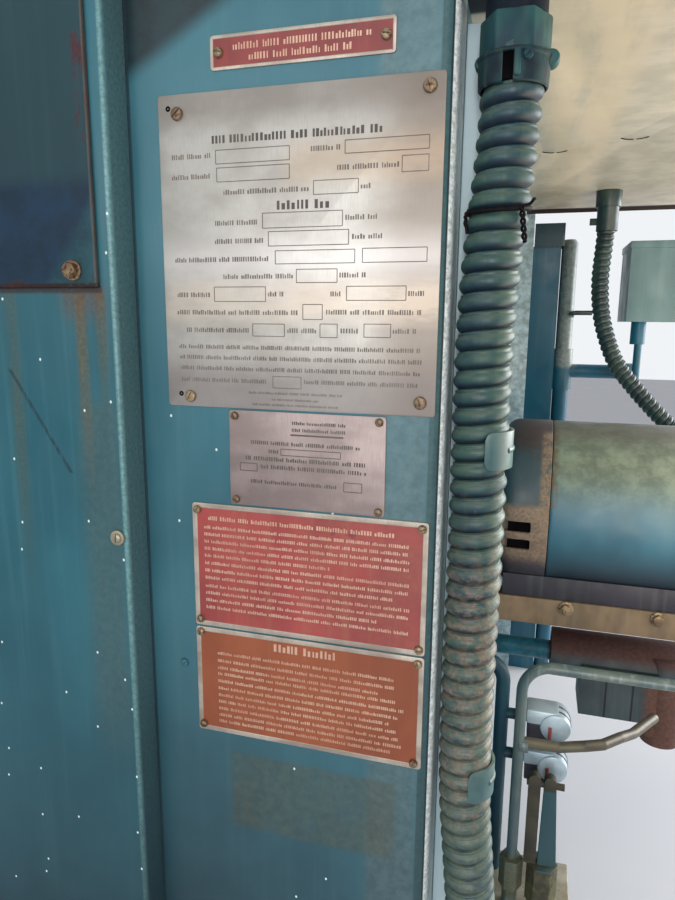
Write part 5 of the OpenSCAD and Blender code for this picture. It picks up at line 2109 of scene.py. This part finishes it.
@dataclass
class Studio:
    """Camera at the photo's angle, pale floor, soft lamps and a pale backdrop."""

    eye: Triple = (230.83, -360.52, -121.06)
    yaw: float = 16.29
    pitch: float = 10.89
    roll: float = 0.477
    lens: float = 26.99
    floor_level: float = -700.0
    level: float = 0.52

    def camera(self) -> None:
        """Set the camera where the photo was taken."""
        data = bpy.data.cameras.new("photo_camera")
        data.lens = self.lens
        data.sensor_width = 36.0
        data.clip_start, data.clip_end = 0.01, 50.0
        camera = bpy.data.objects.new("photo_camera", data)
        bpy.context.scene.collection.objects.link(camera)
        turn = (Matrix.Rotation(math.radians(self.yaw), 4,
                                "Z") @ Matrix.Rotation(math.radians(90 - self.pitch), 4, "X")
                @ Matrix.Rotation(math.radians(self.roll), 4, "Z"))
        camera.matrix_world = Matrix.Translation(at(*self.eye)) @ turn
        bpy.context.scene.camera = camera

    def floor(self) -> None:
        """Lay the pale floor."""
        clear()
        bpy.ops.mesh.primitive_grid_add(x_subdivisions=2, y_subdivisions=2, size=14,
                                        location=at(0, 300, self.floor_level))
        floor = bpy.context.object
        floor.name = "studio_floor"
        settle(floor)
        graph = Graph("studio_floor")
        tone = graph.noise((260.0, 260.0, 260.0), 2.0)
        graph.set("Base Color", graph.blend(tone, linear((216, 216, 220)), linear((208, 208, 214))))
        graph.set("Roughness", 0.9)
        floor.data.materials.append(graph.material)

    def lamp(self, name: str, place: Vector, aim: Vector, size: Pair, power: float,
             warm: float = 0.0) -> None:
        """Hang one soft lamp.

        Args:
            name: Name of the lamp.
            place: Where it hangs, in metres.
            aim: What it points at.
            size: Its width and height in metres.
            power: Its power in watts.
            warm: How far its light leans from white to the tan of dry ground.
        """
        data = bpy.data.lights.new(name, "AREA")
        data.color = (1.0, 1.0 - 0.2 * warm, 1.0 - 0.5 * warm)
        data.shape = "RECTANGLE"
        data.size, data.size_y = size
        data.energy = power
        lamp = bpy.data.objects.new(name, data)
        bpy.context.scene.collection.objects.link(lamp)
        lamp.location = place
        lamp.rotation_euler = (place - aim).to_track_quat("Z", "Y").to_euler()
        lamp.visible_camera = False

    def sky(self) -> None:
        """Light the world evenly, and show it pale to the camera and in gloss."""
        world = bpy.data.worlds.new("studio_world")
        world.use_nodes = True
        bpy.context.scene.world = world
        tree = world.node_tree
        back = tree.nodes["Background"]
        path = tree.nodes.new("ShaderNodeLightPath")
        seen = tree.nodes.new("ShaderNodeMath")
        seen.operation = "MAXIMUM"
        tree.links.new(path.outputs["Is Camera Ray"], seen.inputs[0])
        tree.links.new(path.outputs["Is Glossy Ray"], seen.inputs[1])
        strength = tree.nodes.new("ShaderNodeMapRange")
        strength.inputs["To Min"].default_value = self.level
        strength.inputs["To Max"].default_value = 0.93
        tree.links.new(seen.outputs[0], strength.inputs["Value"])
        tree.links.new(strength.outputs[0], back.inputs["Strength"])
        back.inputs["Color"].default_value = (0.94, 0.97, 1.0, 1.0)

    def build(self) -> None:
        """Set up the studio."""
        self.camera()
        self.floor()
        self.sky()
        middle = Vector((0.48, 0.1, -0.05))
        self.lamp("yard_lamp", Vector((2.3, 1.2, 0.4)), middle, (1.5, 1.5), 64.0)
        self.lamp("front_lamp", Vector((-0.25, -1.9, 0.42)), Vector((0.45, 0.0, 0.05)), (0.5, 0.5), 7.0)
        self.lamp("slot_lamp", Vector((0.70, -1.9, 0.0)), Vector((0.5, 0.0, 0.0)), (0.3, 2.0), 23.0)
        self.lamp("ground_lamp", Vector((0.98, 0.12, -0.04)), Vector((0.78, 0.36, 0.24)), (0.7, 0.4), 3.0,
                  0.85)
        bpy.context.scene.view_settings.view_transform = "Standard"


def main() -> None:
    """Build every sub-assembly in order."""
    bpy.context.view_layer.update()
    Studio().build()
    Casing().build()
    CasingFrame().build()
    for plate in plate_set():
        plate.build()
    ConduitFittings().build()
    ControlCabinet().build()
    BlowerMotor().build()
    FarEquipment().build()
    FrontPiping().build()
    clear()


if __name__ == "__main__":
    main()
